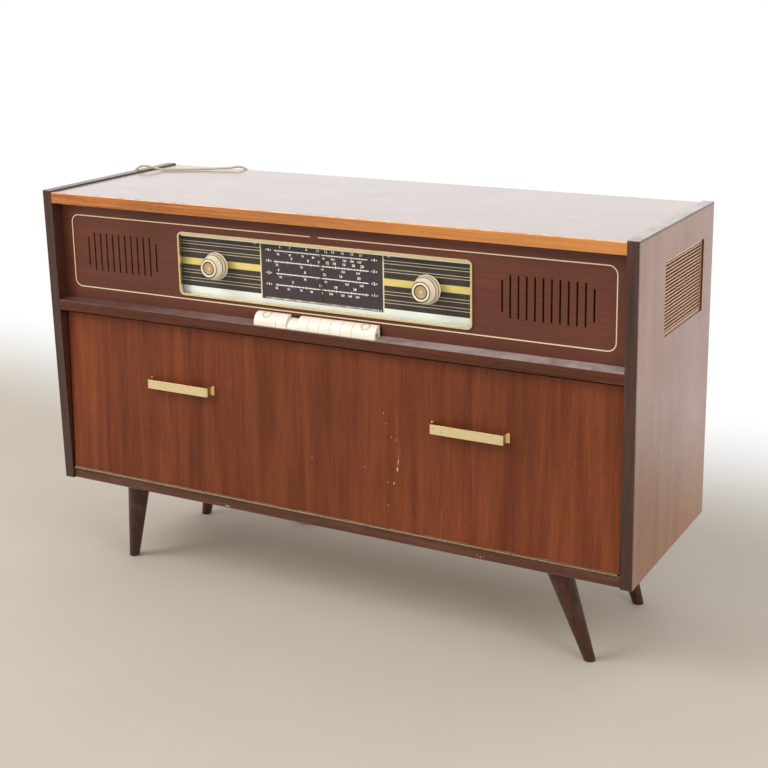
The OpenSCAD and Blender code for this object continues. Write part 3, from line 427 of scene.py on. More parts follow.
def slabs(boxes):
    """Flat blocks, each from its lowest to its highest corner, as six faces that point outwards."""
    boxes = np.asarray(boxes, float).reshape(-1, 2, 3)
    pick = np.array([[0, 0, 0], [1, 0, 0], [1, 1, 0], [0, 1, 0], [0, 0, 1], [1, 0, 1], [1, 1, 1], [0, 1, 1]])
    points = boxes[:, pick, np.arange(3)[None]]
    sides = np.array([[0, 3, 2, 1], [4, 5, 6, 7], [0, 1, 5, 4], [1, 2, 6, 5], [2, 3, 7, 6], [3, 0, 4, 7]])
    faces = sides[None] + (np.arange(len(boxes)) * 8)[:, None, None]
    return points.reshape(-1, 3), faces.reshape(-1, 4)


def round_outline(w, h, r, steps=10):
    """A rectangle with round corners about the middle, anticlockwise: four quarter circles joined
    by straight sides."""
    a = np.linspace(0, np.pi / 2, steps)[None] + np.arange(4)[:, None] * np.pi / 2
    sx = np.array([1, -1, -1, 1])[:, None] * (w / 2 - r)
    sz = np.array([1, 1, -1, -1])[:, None] * (h / 2 - r)
    return np.stack([sx + r * np.cos(a), sz + r * np.sin(a)], -1).reshape(-1, 2)


def to_front(points):
    """Turns a shape made about z so that its z points forwards, to -y."""
    return np.stack([points[:, 0], -points[:, 2], points[:, 1]], -1)


def to_back(points):
    """Turns a shape made about z so that its z points backwards, to +y."""
    return np.stack([-points[:, 0], points[:, 2], points[:, 1]], -1)


def to_floor(points):
    """Turns a shape made about z so that its z points down."""
    return points * np.array([1, -1, -1])


def screws(radius, turn, places):
    """A screw at each of several places, turned to face outwards. Its head is a low turned dome
    whose middle rows sink where they cross the straight slot."""
    r = radius
    dome = [(r, 0), (r, r * 0.18), (r * 0.8, r * 0.42), (r * 0.45, r * 0.56), (0, r * 0.6)]
    points, faces = turned(dome, 16)
    slot = (np.abs(points[:, 0]) < r * 0.18) & (points[:, 2] > r * 0.3)
    points[:, 2] -= np.where(slot, r * 0.32, 0)
    places = np.asarray(places, float)[:, None]
    first = (np.arange(len(places)) * len(points))[:, None, None]
    return ((places + turn(points)[None]).reshape(-1, 3),
            [(group[None] + first).reshape(-1, group.shape[1]) for group in faces])


def words(entries, depth):
    """Figures as flat shapes in the plane of the front. Each entry is its text, the x and the
    height of its middle and its own height in millimetres. It gives points and triangles."""
    made_points, made_faces, count = [], [], 0
    for text, x, b, tall in entries:
        curve = bpy.data.curves.new("figures", "FONT")
        curve.body, curve.size, curve.offset = text, tall / 1000 * 1.38, tall / 1000 * 0.045
        curve.align_x, curve.align_y, curve.resolution_u = "CENTER", "CENTER", 1
        holder = bpy.data.objects.new("figures", curve)
        mesh = bpy.data.meshes.new_from_object(holder)
        mesh.calc_loop_triangles()
        flat = np.empty((len(mesh.vertices), 3))
        mesh.vertices.foreach_get("co", flat.reshape(-1))
        corners = np.empty((len(mesh.loop_triangles), 3), int)
        mesh.loop_triangles.foreach_get("vertices", corners.reshape(-1))
        made_points.append(np.stack([flat[:, 0] + x / 1000, flat[:, 2] + depth,
                                     flat[:, 1] + at_height(b)], -1))
        made_faces.append(corners + count)
        count += len(flat)
        bpy.data.meshes.remove(mesh)
        bpy.data.objects.remove(holder)
        bpy.data.curves.remove(curve)
    return np.concatenate(made_points), np.concatenate(made_faces)


def in_flap(points):
    """Takes points of the flap's own frame (x, back, up from its hinge) to the closed flap's place,
    which leans back by the flap's lean."""
    x, u, v = np.asarray(points, float).T
    c, s = math.cos(FLAP_LEAN), math.sin(FLAP_LEAN)
    return np.stack([x, HINGE[0] + u * c + v * s, HINGE[1] - u * s + v * c], -1)


def smooth_path(points, per):
    """A curve through all its points: cubics whose slopes are half the step between the
    neighbours of each point."""
    p = np.asarray(points, float)
    i = np.arange(len(p) - 1)
    a, b, c, d = p[np.maximum(i - 1, 0)], p[i], p[i + 1], p[np.minimum(i + 2, len(p) - 1)]
    t = (np.arange(per) / per)[None, :, None]
    m, n = (c - a)[:, None] / 2, (d - b)[:, None] / 2
    b, c = b[:, None], c[:, None]
    curve = (b * (2 * t**3 - 3 * t**2 + 1) + m * (t**3 - 2 * t**2 + t)
             + c * (3 * t**2 - 2 * t**3) + n * (t**3 - t**2))
    return np.concatenate([curve.reshape(-1, 3), p[-1:]])


# ------------------------------------------------------------------ what a user may change


def colour_property(name, description, code):
    """A colour shown as a swatch, from a hex code."""
    return FloatVectorProperty(name=name, description=description, subtype="COLOR", size=3,
                               min=0, max=1, default=linear(code))


class GRAM_PG_woods(bpy.types.PropertyGroup):
    """Colours and scale of the woods."""
    top: colour_property("Top", "Veneer of the top", "#a8694c")
    panel: colour_property("Panels", "Light stripe of the side panels' veneer", "#a8693c")
    panel_dark: colour_property("Panels, dark", "Dark stripe of the side panels' veneer", "#8a5029")
    flap: colour_property("Flap", "Light stripe of the flap's veneer", "#914a26")
    flap_dark: colour_property("Flap, dark", "Dark stripe of the flap's veneer", "#6e3019")
    front: colour_property("Radio front", "Stained front round the dial", "#72402f")
    edge: colour_property("Edges", "Dark lipping on the side panels' edges", "#5a3023")
    lipping: colour_property("Top lipping", "Lighter lipping along the front of the top", "#d98440")
    leg: colour_property("Legs", "Stained beech of the legs", "#5a2f1b")
    inside: colour_property("Inside", "Plain veneer inside", "#c9a371")
    ribbon: FloatProperty(name="Ribbon width", description="Width of the veneer's stripes",
                          default=0.021, min=0.004, max=0.08, unit="LENGTH")


class GRAM_PG_front(bpy.types.PropertyGroup):
    """Colours of the radio's front."""
    ivory: colour_property("Ivory", "Moulded keys and knobs", "#fdf3e6")
    aged: colour_property("Aged ivory", "Yellowed parts of the keys and knobs", "#f9e9bf")
    gold: colour_property("Gold", "Dial trim and handles", "#f2e0b0")
    plate: colour_property("Dial", "Ground of the printed dial", "#2c1f21")
    line: colour_property("Inlay", "Inlaid line round the radio front", "#f6dfc0")
    line_width: FloatProperty(name="Inlay width", description="Width of the inlaid line",
                              default=0.002, min=0.001, max=0.006, unit="LENGTH")


class GRAM_PG_lead(bpy.types.PropertyGroup):
    """The mains lead."""
    sheath: colour_property("Sheath", "Colour of the lead's sheath", "#d8ccae")
    diameter: FloatProperty(name="Diameter", description="Diameter of the lead",
                            default=0.0045, min=0.003, max=0.008, unit="LENGTH")
    turns: IntProperty(name="Turns", description="Turns in the coil behind the cabinet",
                       default=4, min=2, max=8)


class GRAM_PG_stage(bpy.types.PropertyGroup):
    """The studio."""
    floor: colour_property("Floor", "Plain floor", "#cfc6b7")
    lamp: FloatProperty(name="Lamp power", description="Power of the large soft lamp at the upper left",
                        default=84.0, min=0, max=500, unit="POWER")
    air: FloatProperty(name="Room light", description="Strength of the even light of the room",
                       default=0.72, min=0, max=3, subtype="FACTOR")


def looks(context, part):
    """The property group of that part of the looks."""
    return getattr(context.scene, "gram_" + part)


class Maker:
    """What every operator here shares."""
    bl_options = {"REGISTER", "UNDO"}


# ------------------------------------------------------------------ the pieces


class GRAM_OT_outer_woods(Maker, bpy.types.Operator):
    """Veneer the case, the flap and the rail, and stain the lippings, the radio front and the ledge"""
    bl_idname = "gram.outer_woods"
    bl_label = "Outer woods"

    def execute(self, context):
        w = looks(context, "woods")
        wear("top_panel", "glossy_mahogany_top", veneer, "#8f5138", w.top, "X", ribbon=w.ribbon * 1.6,
             gloss=0.2, coat=1.0, contrast=0.8, grime=0.1, Coat_IOR=1.7, Sheen_Weight=0.25,
             Sheen_Roughness=0.5)
        # The panels' inner faces are darkened as painted shade
        wear("side_panel_left side_panel_right", "mahogany_side_veneer", veneer, w.panel_dark, w.panel, "Z",
             ribbon=w.ribbon * 1.5, gloss=0.26, coat=0.5, contrast=0.7, grime=0.1, specular=0.4,
             fine_dark=0.78, pore_dark=0.75, inner="#4c2a1e")
        # Chips and smears in the lacquer, right of the middle and round the left handle
        pale, dark = "#dcbba0", "#4f261a"
        chips = [(0.1427, 0.262, 0.0032, 0.016, 0.1, dark), (-0.381, 0.33, 0.008, 0.009, 0.4, dark),
                 (0.163, 0.34, 0.0035, 0.03, 0.15, "#8a5038"), (0.1334, 0.4181, 0.0008, 0.0014, 0.2, pale),
                 (0.1384, 0.4005, 0.0005, 0.0018, 0.2, pale), (0.1491, 0.3763, 0.0005, 0.0016, 0.2, pale),
                 (0.1583, 0.373, 0.0004, 0.002, 0.0, pale), (0.163, 0.333, 0.0007, 0.0054, 0.1, pale),
                 (0.1616, 0.3195, 0.0015, 0.0042, 0.05, pale), (0.1546, 0.2925, 0.0009, 0.0032, 0.3, pale),
                 (0.1433, 0.293, 0.0005, 0.0014, 0.0, pale), (0.0954, 0.3134, 0.0006, 0.0012, 0.0, pale),
                 (-0.0157, 0.314, 0.0005, 0.0018, 0.1, pale), (0.1427, 0.2499, 0.0005, 0.0016, 0.0, pale)]
        # The flap's lower edge is paled in broken stretches: wear, with a painted highlight
        wear("flap_panel", "ribbon_mahogany_flap", veneer, w.flap_dark, w.flap, "Z", ribbon=w.ribbon,
             gloss=0.38, contrast=0.9, specular=0.25, chips=chips, fine_dark=0.76, pore_dark=0.72,
             wear="#c99a78", worn_edge=("LESS_THAN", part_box("flap_panel")[0][2] + 0.0016))
        # The pale bloom on the lippings' upper faces, brighter to the right, is a painted highlight
        wear("side_lippings", "dark_stained_lipping", veneer, "#2e1912", w.edge, "Z", ribbon=0.008, gloss=0.3,
             contrast=0.8, wear="#8a5c3c", wear_share=0.5, specular=0.4, coat=0.4, dusty="#d2c6bc",
             dusty_share=0.9)
        wear("fascia_panel", "stained_radio_front", veneer, "#65301f", w.front, "X", ribbon=0.05, gloss=0.33,
             contrast=0.5, specular=0.35, fine_dark=0.8, pore_dark=0.75)
        # The pale bloom on the ledge's upward slope, brighter to the right, is a painted reflection
        wear("key_ledge", "dark_ledge_moulding", veneer, "#552a1b", "#6f3d2a", "X", ribbon=0.012, gloss=0.36,
             contrast=0.7, wear="#9a6b4c", wear_share=0.45, specular=0.22, grime=0.1, dusty="#c9b8b4",
             dusty_share=0.8)
        # Knocks a few millimetres above the rail's lower edge, and one higher up
        ash, tan = "#d8c4b2", "#cfae92"
        knocks = [(-0.2085, 0.1863, 0.0021, 0.0013, 0.0, ash), (-0.2035, 0.186, 0.0021, 0.0011, 0.0, ash),
                  (0.318, 0.1888, 0.0018, 0.0008, 0.0, tan), (0.3245, 0.1868, 0.0016, 0.0013, 0.0, tan),
                  (0.331, 0.1886, 0.0013, 0.0007, 0.0, tan), (0.065, 0.1955, 0.0009, 0.001, 0.0, "#c79a72")]
        # The rail's top edge is paled in broken stretches: wear, with a painted highlight
        wear("bottom_rail", "rail_veneer", veneer, "#54291a", "#743e28", "X", ribbon=0.01, gloss=0.34,
             contrast=0.8, wear="#c9a383", wear_share=0.8, grime=0.2, chips=knocks,
             worn_edge=("GREATER_THAN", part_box("bottom_rail")[1][2] - 0.002))
        # The near-white colour on the edges and along the top arris, and the paling towards the right end,
        # are painted highlights
        wear("top_front_lipping", "light_top_lipping", veneer, "#b4612a", w.lipping, "X", ribbon=0.006,
             gloss=0.24, coat=0.3, contrast=1.2, wear="#f3cfa8", wear_share=0.9, faded="#e0954a",
             worn_edge=("GREATER_THAN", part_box("top_front_lipping")[1][2] - 0.0013))
        return {"FINISHED"}


class GRAM_OT_inner_woods(Maker, bpy.types.Operator):
    """Give the inside its plain light veneer and the back its bare hardboard, with its screws"""
    bl_idname = "gram.inner_woods"
    bl_label = "Inner woods and back"

    def execute(self, context):
        w = looks(context, "woods")
        for name, along, nodes in (("plain_light_veneer", "X", "bottom_panel radio_shelf deck_plinth"),
                                   ("plain_light_veneer_upright", "Y", "compartment_divider record_rack")):
            wear(nodes, name, veneer, "#b78d5c", w.inside, along, ribbon=0.03, gloss=0.42, contrast=0.6,
                 wear="#dcc296", specular=0.35)
        wear("back_panel", "bare_hardboard", hardboard, "#80593c", "#553823")
        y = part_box("back_panel")[1][1]
        rows = [(x, y, at_height(b)) for b in (9, 558) for x in np.linspace(-0.565, 0.565, 9)]
        rows += [(x, y, at_height(b)) for x in (-0.572, 0.572) for b in np.linspace(70, 500, 4)]
        steel = finish("zinc_screws", metal, "#b9bab6", 0.34, dull="#6f6a60")
        put("back_screws", *screws(0.0038, to_back, rows), steel, "cabinet", "zinc_steel", smooth=True)
        return {"FINISHED"}


class GRAM_OT_legs(Maker, bpy.types.Operator):
    """Stain and scuff the four legs, and set the screws in their plates"""
    bl_idname = "gram.legs"
    bl_label = "Legs"

    def execute(self, context):
        w = looks(context, "woods")
        wear("leg_front_left leg_front_right leg_back_left leg_back_right", "stained_beech_leg", veneer,
             "#391d10", w.leg, "Z", ribbon=0.007, gloss=0.32, wear="#9a6a46", wear_share=0.6, grime=0.2,
             specular=0.4)
        wear("leg_plates", "black_lacquered_plate", plastic, "#26221f", "#38322c", roughness=0.4)
        steel = finish("zinc_screws", metal, "#b9bab6", 0.34, dull="#6f6a60")
        places = [(sx * 0.451 + i * 0.028, at_depth(d) + j * 0.028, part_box("leg_plates")[0][2])
                  for sx in (-1, 1) for d in (338, 76) for i in (-1, 1) for j in (-1, 1)]
        put("leg_plate_screws", *screws(0.0036, to_floor, places), steel, "cabinet", "zinc_steel",
            smooth=True)
        return {"FINISHED"}


class GRAM_OT_inlay(Maker, bpy.types.Operator):
    """Let the cream line into the radio front"""
    bl_idname = "gram.inlay"
    bl_label = "Inlaid line"

    def execute(self, context):
        f = looks(context, "front")
        wide, low, high, corner = 1.114, at_height(396), at_height(538.6), 0.016
        cut = f.line_width
        outer = round_outline(wide, high - low, corner)
        inner = round_outline(wide - 2 * cut, high - low - 2 * cut, corner - cut)
        n, middle = len(outer), (low + high) / 2
        # The section is a low flat band: foot and top of the outer edge, then of the inner one
        section = [(outer, 0.0002), (outer, -0.0001), (inner, -0.0001), (inner, 0.0002)]
        points = np.concatenate([np.stack([line[:, 0], np.full(n, FASCIA_Y + y), line[:, 1] + middle], -1)
                                 for line, y in section])
        worn = [(-0.0062 + i * 0.0042, high - 0.001, 0.0021, 0.003, 0, "#5c2c20")
                for i in (-1.5, -0.5, 0.5, 1.5)]
        line = finish("inlaid_cream_line", ink, f.line, 0.4, "#a07c5e", 0.5, gaps=worn)
        put("inlaid_line", points, grid(4, n, close_rows=True, close_cols=True)[:, ::-1], line, "cabinet",
            "ivory_plastic")
        return {"FINISHED"}


class GRAM_OT_dial(Maker, bpy.types.Operator):
    """Print the dial's plate, and finish its trim, glass and pointer"""
    bl_idname = "gram.dial"
    bl_label = "Dial"

    def execute(self, context):
        f = looks(context, "front")
        wear("dial_frame", "anodised_gold_trim", metal, f.gold, 0.26, dull="#a58e57")
        wear("dial_glass", "float_glass", clear_glass, "#ffffff")
        NODES["dial_glass"].visible_shadow = False
        wear("dial_plate", "lacquered_dial_plate", ink, f.plate, 0.5, "#241a1a", 0.4,
             ahead=(at_depth(353.6), "#dcd8c4"))
        wear("dial_pointer", "red_acrylic_pointer", plastic, "#4a1f18", "#3a1812", roughness=0.3)
        face = at_depth(353.5)

        def band(x0, x1, b0, b1, thick=0.00012):
            return [(x0 / 1000, face - thick, at_height(b0)), (x1 / 1000, face + 0.00003, at_height(b1))]

        # The scale stands between two posts, in the middle of the plate
        end, left, right, post = 306.0, -129.2, 127.2, 2.5
        foot, head = 413.2, 514.0
        sides = ((-end, left), (right, end))
        posts = [band(left, left + post, foot, head, 0.0002), band(right - post, right, foot, head, 0.0002)]
        gold = [band(*side, 461.6, 474.3) for side in sides]
        fine = posts + [band(*side, b - 0.45, b + 0.45) for side in sides
                        for b in (500.7, 505.9, 486.1, 491.0, 445.9, 451.4, 430.9, 436.4)]
        pale = [band(*side, 402.0, 420.8) for side in sides] + [band(left, right, 402.0, 413.0)]
        # The top band is printed on the glass, and on the plate behind its corners
        top = [band(-end, end, head, 521.9),
               [(-0.297, at_depth(365.6), at_height(517.0)), (0.297, at_depth(365.48), at_height(521.2))]]
        ground = [band(left + post, right - post, 417.8, 514.2, 0.00008)]
        strip = [band(-123, 122, foot, 417.4, 0.00016)]
        for name, boxes, slot, *values in (
                ("dial_gold_bands", gold, "gold_metal", "gold_ink", "#d9c573", 0.35, "#b39a4e", 0.5),
                ("dial_fine_lines", fine, "gold_metal", "pale_gold_ink", "#d9cda2", 0.35, "#8a7a56", 0.4),
                ("dial_pale_bands", pale, "ivory_plastic", "silver_white_ink", "#e6ebe0", 0.4, "#cdcfae",
                 0.4),
                ("dial_top_band", top, "ivory_plastic", "bright_cream_ink", "#f4efd6", 0.4, "#e0d6b4", 0.3),
                ("dial_scale_ground", ground, "dial_black", "purple_black_ink", "#32242a", 0.5, "#281c21",
                 0.3),
                ("dial_foot_strip", strip, "dial_black", "brown_black_ink", "#2d2420", 0.5, "#5b4c3c", 0.3)):
            put(name, *slabs(boxes), finish(values[0], ink, *values[1:]), "cabinet", slot)

        # Scales: a long line, ticks over and under it, and plain figures
        upper = tuple(zip((-86, -65, -30, -7, 10, 24, 44, 63, 81), (6, 7, 8, 10, 12, 14, 16, 18, 20)))
        lower = tuple(zip((-90, -65, -38, -16, 5, 24, 48, 63, 78), (52, 60, 70, 80, 90, 100, 120, 140, 160)))
        rng = np.random.default_rng(7)
        marks, figures = [], []
        for row, (x0, x1, b, shift) in enumerate(((-99, 95, 503.8, 0), (-100, 97, 483.6, 3),
                                                  (-95, 96, 461.8, -4), (-97, 96, 440.8, 5))):
            marks.append(band(x0, x1, b - 0.7, b + 0.7, 0.0002))
            ticks = np.linspace(x0 + 4, x1 - 4, 34 - 3 * row) + rng.uniform(-0.8, 0.8, 34 - 3 * row)
            for i, x in enumerate(ticks):
                tall = 3.0 if i % 4 == 0 else 1.7
                marks.append(band(x - 0.4, x + 0.4, b, b + tall if row % 2 else b + 1.4, 0.0002))
                marks.append(band(x - 0.4, x + 0.4, b - tall, b, 0.0002))
            figures += [(str(n), x + shift, b + 6.8, 5.0) for x, n in upper[row % 2 :: 1 if row < 2 else 2]]
            figures += [(str(n), x - shift, b - 6.2, 4.0) for x, n in lower[:: 1 if row in (0, 3) else 2]]
            for x in (-111, 108):
                figures.append((str(4 - row), x, b + 0.4, 5.4))
                marks += [band(x + side, x + side + 1.5, b - 1, b + 1.6, 0.0002) for side in (-5.5, 4)]
        for x in np.arange(-118, 120, 5.4):
            marks.append(band(x, x + (2.0, 3.6, 1.4)[int(x) % 3], 414.1, 416.7, 0.0002))
        white = finish("white_scale_ink", ink, "#fbf7ea", 0.45, "#b0a698", 0.25)
        put("dial_scale_marks", *slabs(marks), white, "cabinet", "ivory_plastic")
        put("dial_figures", *words(figures, face - 0.0001), white, "cabinet", "ivory_plastic")
        return {"FINISHED"}


class GRAM_OT_knobs(Maker, bpy.types.Operator):
    """Finish the two double knobs, and set a spun brass disc in each front knob"""
    bl_idname = "gram.knobs"
    bl_label = "Knobs"

    def execute(self, context):
        f = looks(context, "front")
        # Painted shade: dark rings where the disc meets its knob, in the cup round the front knob, and at the
        # drum's step and the flange
        disc = ((11.9, 12.8, "#4a3a2a"),)
        cup = ((16.9, 18.1, "#44362a"), (22.1, 22.9, "#7a6a50"), (23.4, 24.4, "#8b7c62"))
        axis = (KNOB_X, None, KNOB_Z)
        for name, grime, nodes in (("front", disc, "volume_knob tuning_knob"),
                                   ("ring", cup, "bass_ring treble_ring")):
            wear(nodes, "aged_ivory_" + name, plastic, "#fff4dc", f.aged, roughness=0.26, mottle=55.0,
                 marks=[(axis, grime)], Subsurface_Weight=0.12, Subsurface_Scale=0.004)
        # Painted reflection on the spun brass: a dark ring near its rim and a bright middle
        brass = finish("spun_brass", metal, "#d8bb99", 0.22, along="Y", dull="#a28468",
                       marks=[(axis, ((10.6, 12.2, "#6f5742"), (-3.6, 3.6, "#f4e0cc")))])
        # The disc is a closed shallow dish: a flat back, a rolled bead at its rim, and a hollow face
        # that follows a parabola with fine spun ripples
        r = np.linspace(10.9, 0.5, 40)
        h = 0.45 + 0.75 * (r / 10.9) ** 2 + 0.05 * np.cos(r * 2 * np.pi / 1.3)
        profile = np.concatenate([[(0, -0.12), (11.7, -0.12), (11.9, 0.3), (11.8, 1.3), (11.45, 1.5)],
                                  np.stack([r, h], -1), [(0, 0.5)]])
        points, faces = turned(profile / 1000, 48)
        for side, name, body in ((-1, "knob_disc_left", "volume_knob"),
                                 (1, "knob_disc_right", "tuning_knob")):
            floor = np.array([side * KNOB_X, at_depth(390.4), KNOB_Z])
            put(name, to_front(points) + floor, faces, brass, body, "gold_metal", smooth=True)
        return {"FINISHED"}


class GRAM_OT_keys(Maker, bpy.types.Operator):
    """Finish the nine piano keys and the steel frame that they swing in"""
    bl_idname = "gram.keys"
    bl_label = "Piano keys"

    def execute(self, context):
        f = looks(context, "front")
        # The wide keys have brown-gold lines on both edges of their raised ring, and a golden-brown patch on
        # their end, which is painted shade
        ring = ((0.10225, at_depth(378.1), at_height(391.5)), ((6.3, 7.1, "#a58350"), (8.5, 9.3, "#8f6c3c")))
        end = ((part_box("key_9")[1][0], at_depth(380), at_height(377)), ((-4.5, 4.5, "#c8923f"),))
        for name, keys, marks in (("piano", range(2, 9), ()), ("wide", (1, 9), (ring, end))):
            wear(" ".join("key_%d" % i for i in keys), "ivory_%s_key" % name, plastic, f.ivory, "#f6e8d0",
                 roughness=0.22, mottle=38.0, marks=marks, Subsurface_Weight=0.1, Subsurface_Scale=0.004)
        wear("key_frame", "zinc_plated_steel", metal, "#a9aba8", 0.36, dull="#7c776c")
        return {"FINISHED"}


class GRAM_OT_metalwork(Maker, bpy.types.Operator):
    """Finish the handles, hinge, stays, studs, fittings and catches, and set their screws"""
    bl_idname = "gram.metalwork"
    bl_label = "Metalwork"

    def execute(self, context):
        f = looks(context, "front")
        wear("handle_left handle_right", "brushed_gold_handle", metal, f.gold, 0.3, dull="#b29a62")
        wear("stay_left stay_right", "rolled_brass_strip", metal, "#b9a06a", 0.34, dull="#7b6a45")
        wear("flap_hinge_fixed flap_hinge_leaf", "tarnished_brass_hinge", metal, "#8a745a", 0.5,
             dull="#3a2a1e", dull_share=1.0)
        wear("stay_studs flap_fittings", "zinc_plated_steel", metal, "#a9aba8", 0.36, dull="#7c776c")
        wear("flap_catches", "black_moulded_catch", plastic, "#22201e", "#2e2b28", roughness=0.35)
        brass = finish("brass_screws", metal, "#c2a869", 0.3, dull="#75653c")
        places = [(s * 0.553, 0.0225, v) for s in (-1, 1) for v in (0.132, 0.162)]
        places += [(s * 0.3 + e * 0.009, 0.0217, 0.31) for s in (-1, 1) for e in (-1, 1)]
        points, faces = screws(0.003, to_back, places)
        put("flap_fitting_screws", in_flap(points), faces, brass, "flap", "gold_metal", smooth=True)
        return {"FINISHED"}


class GRAM_OT_grilles(Maker, bpy.types.Operator):
    """Finish the side grilles, and stretch loudspeaker cloth behind them and behind the front slots"""
    bl_idname = "gram.grilles"
    bl_label = "Grilles and cloth"

    def execute(self, context):
        wear("side_grille_left side_grille_right", "gilt_pressed_grille", metal, "#d8b396", 0.42, along="Y",
             dull="#8a6c54", dull_share=0.45)
        dark = finish("dark_speaker_cloth", cloth, "#6a4c3e", "#261a15")
        light = finish("gold_speaker_cloth", cloth, "#8d7856", "#3a2d1e")

        # Each cloth is one flat grid, given its hair's breadth of thickness by a modifier
        for side, word in ((-1, "left"), (1, "right")):
            x, z = np.meshgrid(side * SPEAKER_X + np.linspace(-0.087, 0.087, 30),
                               SPEAKER_Z + np.linspace(-0.041, 0.041, 16))
            points = np.stack([x.ravel(), np.full(x.size, FASCIA_Y + 0.0077), z.ravel()], -1)
            piece = put("front_cloth_" + word, points, grid(16, 30), dark, "cabinet", "black_plastic")
            thicken(piece, 0.0002)
            y, z = np.meshgrid(at_depth(157) + np.linspace(-0.1035, 0.1035, 32),
                               at_height(464.5) + np.linspace(-0.064, 0.064, 20))
            points = np.stack([np.full(y.size, side * (HALF_W - 0.0113)), y.ravel(), z.ravel()], -1)
            faces = grid(20, 32) if side > 0 else grid(20, 32)[:, ::-1]
            piece = put("side_cloth_" + word, points, faces, light, "cabinet", "black_plastic")
            thicken(piece, 0.0002)
        return {"FINISHED"}


class GRAM_OT_radio_inside(Maker, bpy.types.Operator):
    """Finish the chassis, the parts that stand on it and the loudspeakers"""
    bl_idname = "gram.radio_inside"
    bl_label = "Radio inside"

    def execute(self, context):
        wear("radio_chassis", "zinc_plated_steel", metal, "#a9aba8", 0.36, dull="#7c776c")
        wear("valves_and_transformer deck_motor", "grey_hammer_lacquer", plastic, "#6d7072", "#54575a",
             roughness=0.4, mottle=400.0, depth=0.0003)
        wear("loudspeakers", "black_paper_and_steel", plastic, "#2b2927", "#3c3935", roughness=0.6,
             mottle=90.0, depth=0.0002)
        return {"FINISHED"}


class GRAM_OT_record_player(Maker, bpy.types.Operator):
    """Finish the deck, the platter and the pick-up arm, and lay the rubber mat"""
    bl_idname = "gram.record_player"
    bl_label = "Record player"

    def execute(self, context):
        f = looks(context, "front")
        wear("deck_plate", "cream_stoving_enamel", plastic, "#e8dfc8", "#d9cba6", roughness=0.32, mottle=12.0,
             depth=0.00015)
        wear("platter", "turned_aluminium", metal, "#a3a4a2", 0.3, along="Z", dull="#77756e")
        wear("tonearm", "ivory_pickup_arm", plastic, f.ivory, f.aged, roughness=0.25)
        rubber = finish("ribbed_rubber_mat", plastic, "#2a2a2b", "#353433", roughness=0.55, mottle=120.0,
                        depth=0.0003)
        # The mat is one profile of fine ribs: a wave of 3 mm pitch between a bead and the middle
        r = np.linspace(0.118, 0.022, 193)
        h = 0.0012 + 0.0003 * np.cos((r - 0.022) * 2 * np.pi / 0.003)
        profile = np.concatenate([[(0.1205, -0.0006), (0.1205, 0.0016), (0.1185, 0.0021)],
                                  np.stack([r, h], -1),
                                  [(0.0205, 0.0019), (0.0185, 0.0018), (0.0185, -0.0006)]])
        points, faces = turned(profile, 96, loop=True)
        place = np.array([-0.310, at_depth(170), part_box("platter")[1][2]])
        put("platter_mat", points + place, faces, rubber, "platter", "black_plastic", smooth=True)
        return {"FINISHED"}


# Points of the lead's route in millimetres, as in the part's source
ROUTE = [
    (-520, 223.5, 612), (-520, 233.5, 612), (-522, 245, 611.2), (-529.5, 256.3, 608),
    (-543.5, 264.1, 603), (-563, 265.5, 597), (-587, 253.5, 590), (-606, 231.5, 587),
    (-614, 202.5, 588), (-614, 171.5, 601), (-611, 143.5, 634), (-608.4, 117.6, 680.1),
    (-618.1, 96.7, 723.9), (-615.5, 93.9, 750.7), (-607.1, 94.3, 765.6), (-595.2, 96.2, 773.8),
    (-580.8, 99.5, 775.7), (-563.6, 105, 771.8), (-548.7, 112.3, 768), (-532.9, 120.2, 768),
    (-514.7, 130.4, 767.8), (-492.1, 142.5, 768), (-467.7, 155.6, 768.3), (-444.4, 166.5, 769.5),
    (-425.8, 177.1, 770), (-412.7, 188.3, 771.6), (-403.5, 197.9, 768.5), (-396.4, 205.7, 760.3),
    (-392.4, 210.6, 747.5), (-392.3, 211.5, 728.9), (-397, 204.9, 690), (-397, 202.5, 600),
    (-397, 201.5, 400), (-397, 201.5, 180), (-397, 201.5, 80), (-395.5, 201.5, 42), (-385, 201.5, 14.5),
    (-364, 201.5, 3.4), (-328, 201.5, 2.3),
]


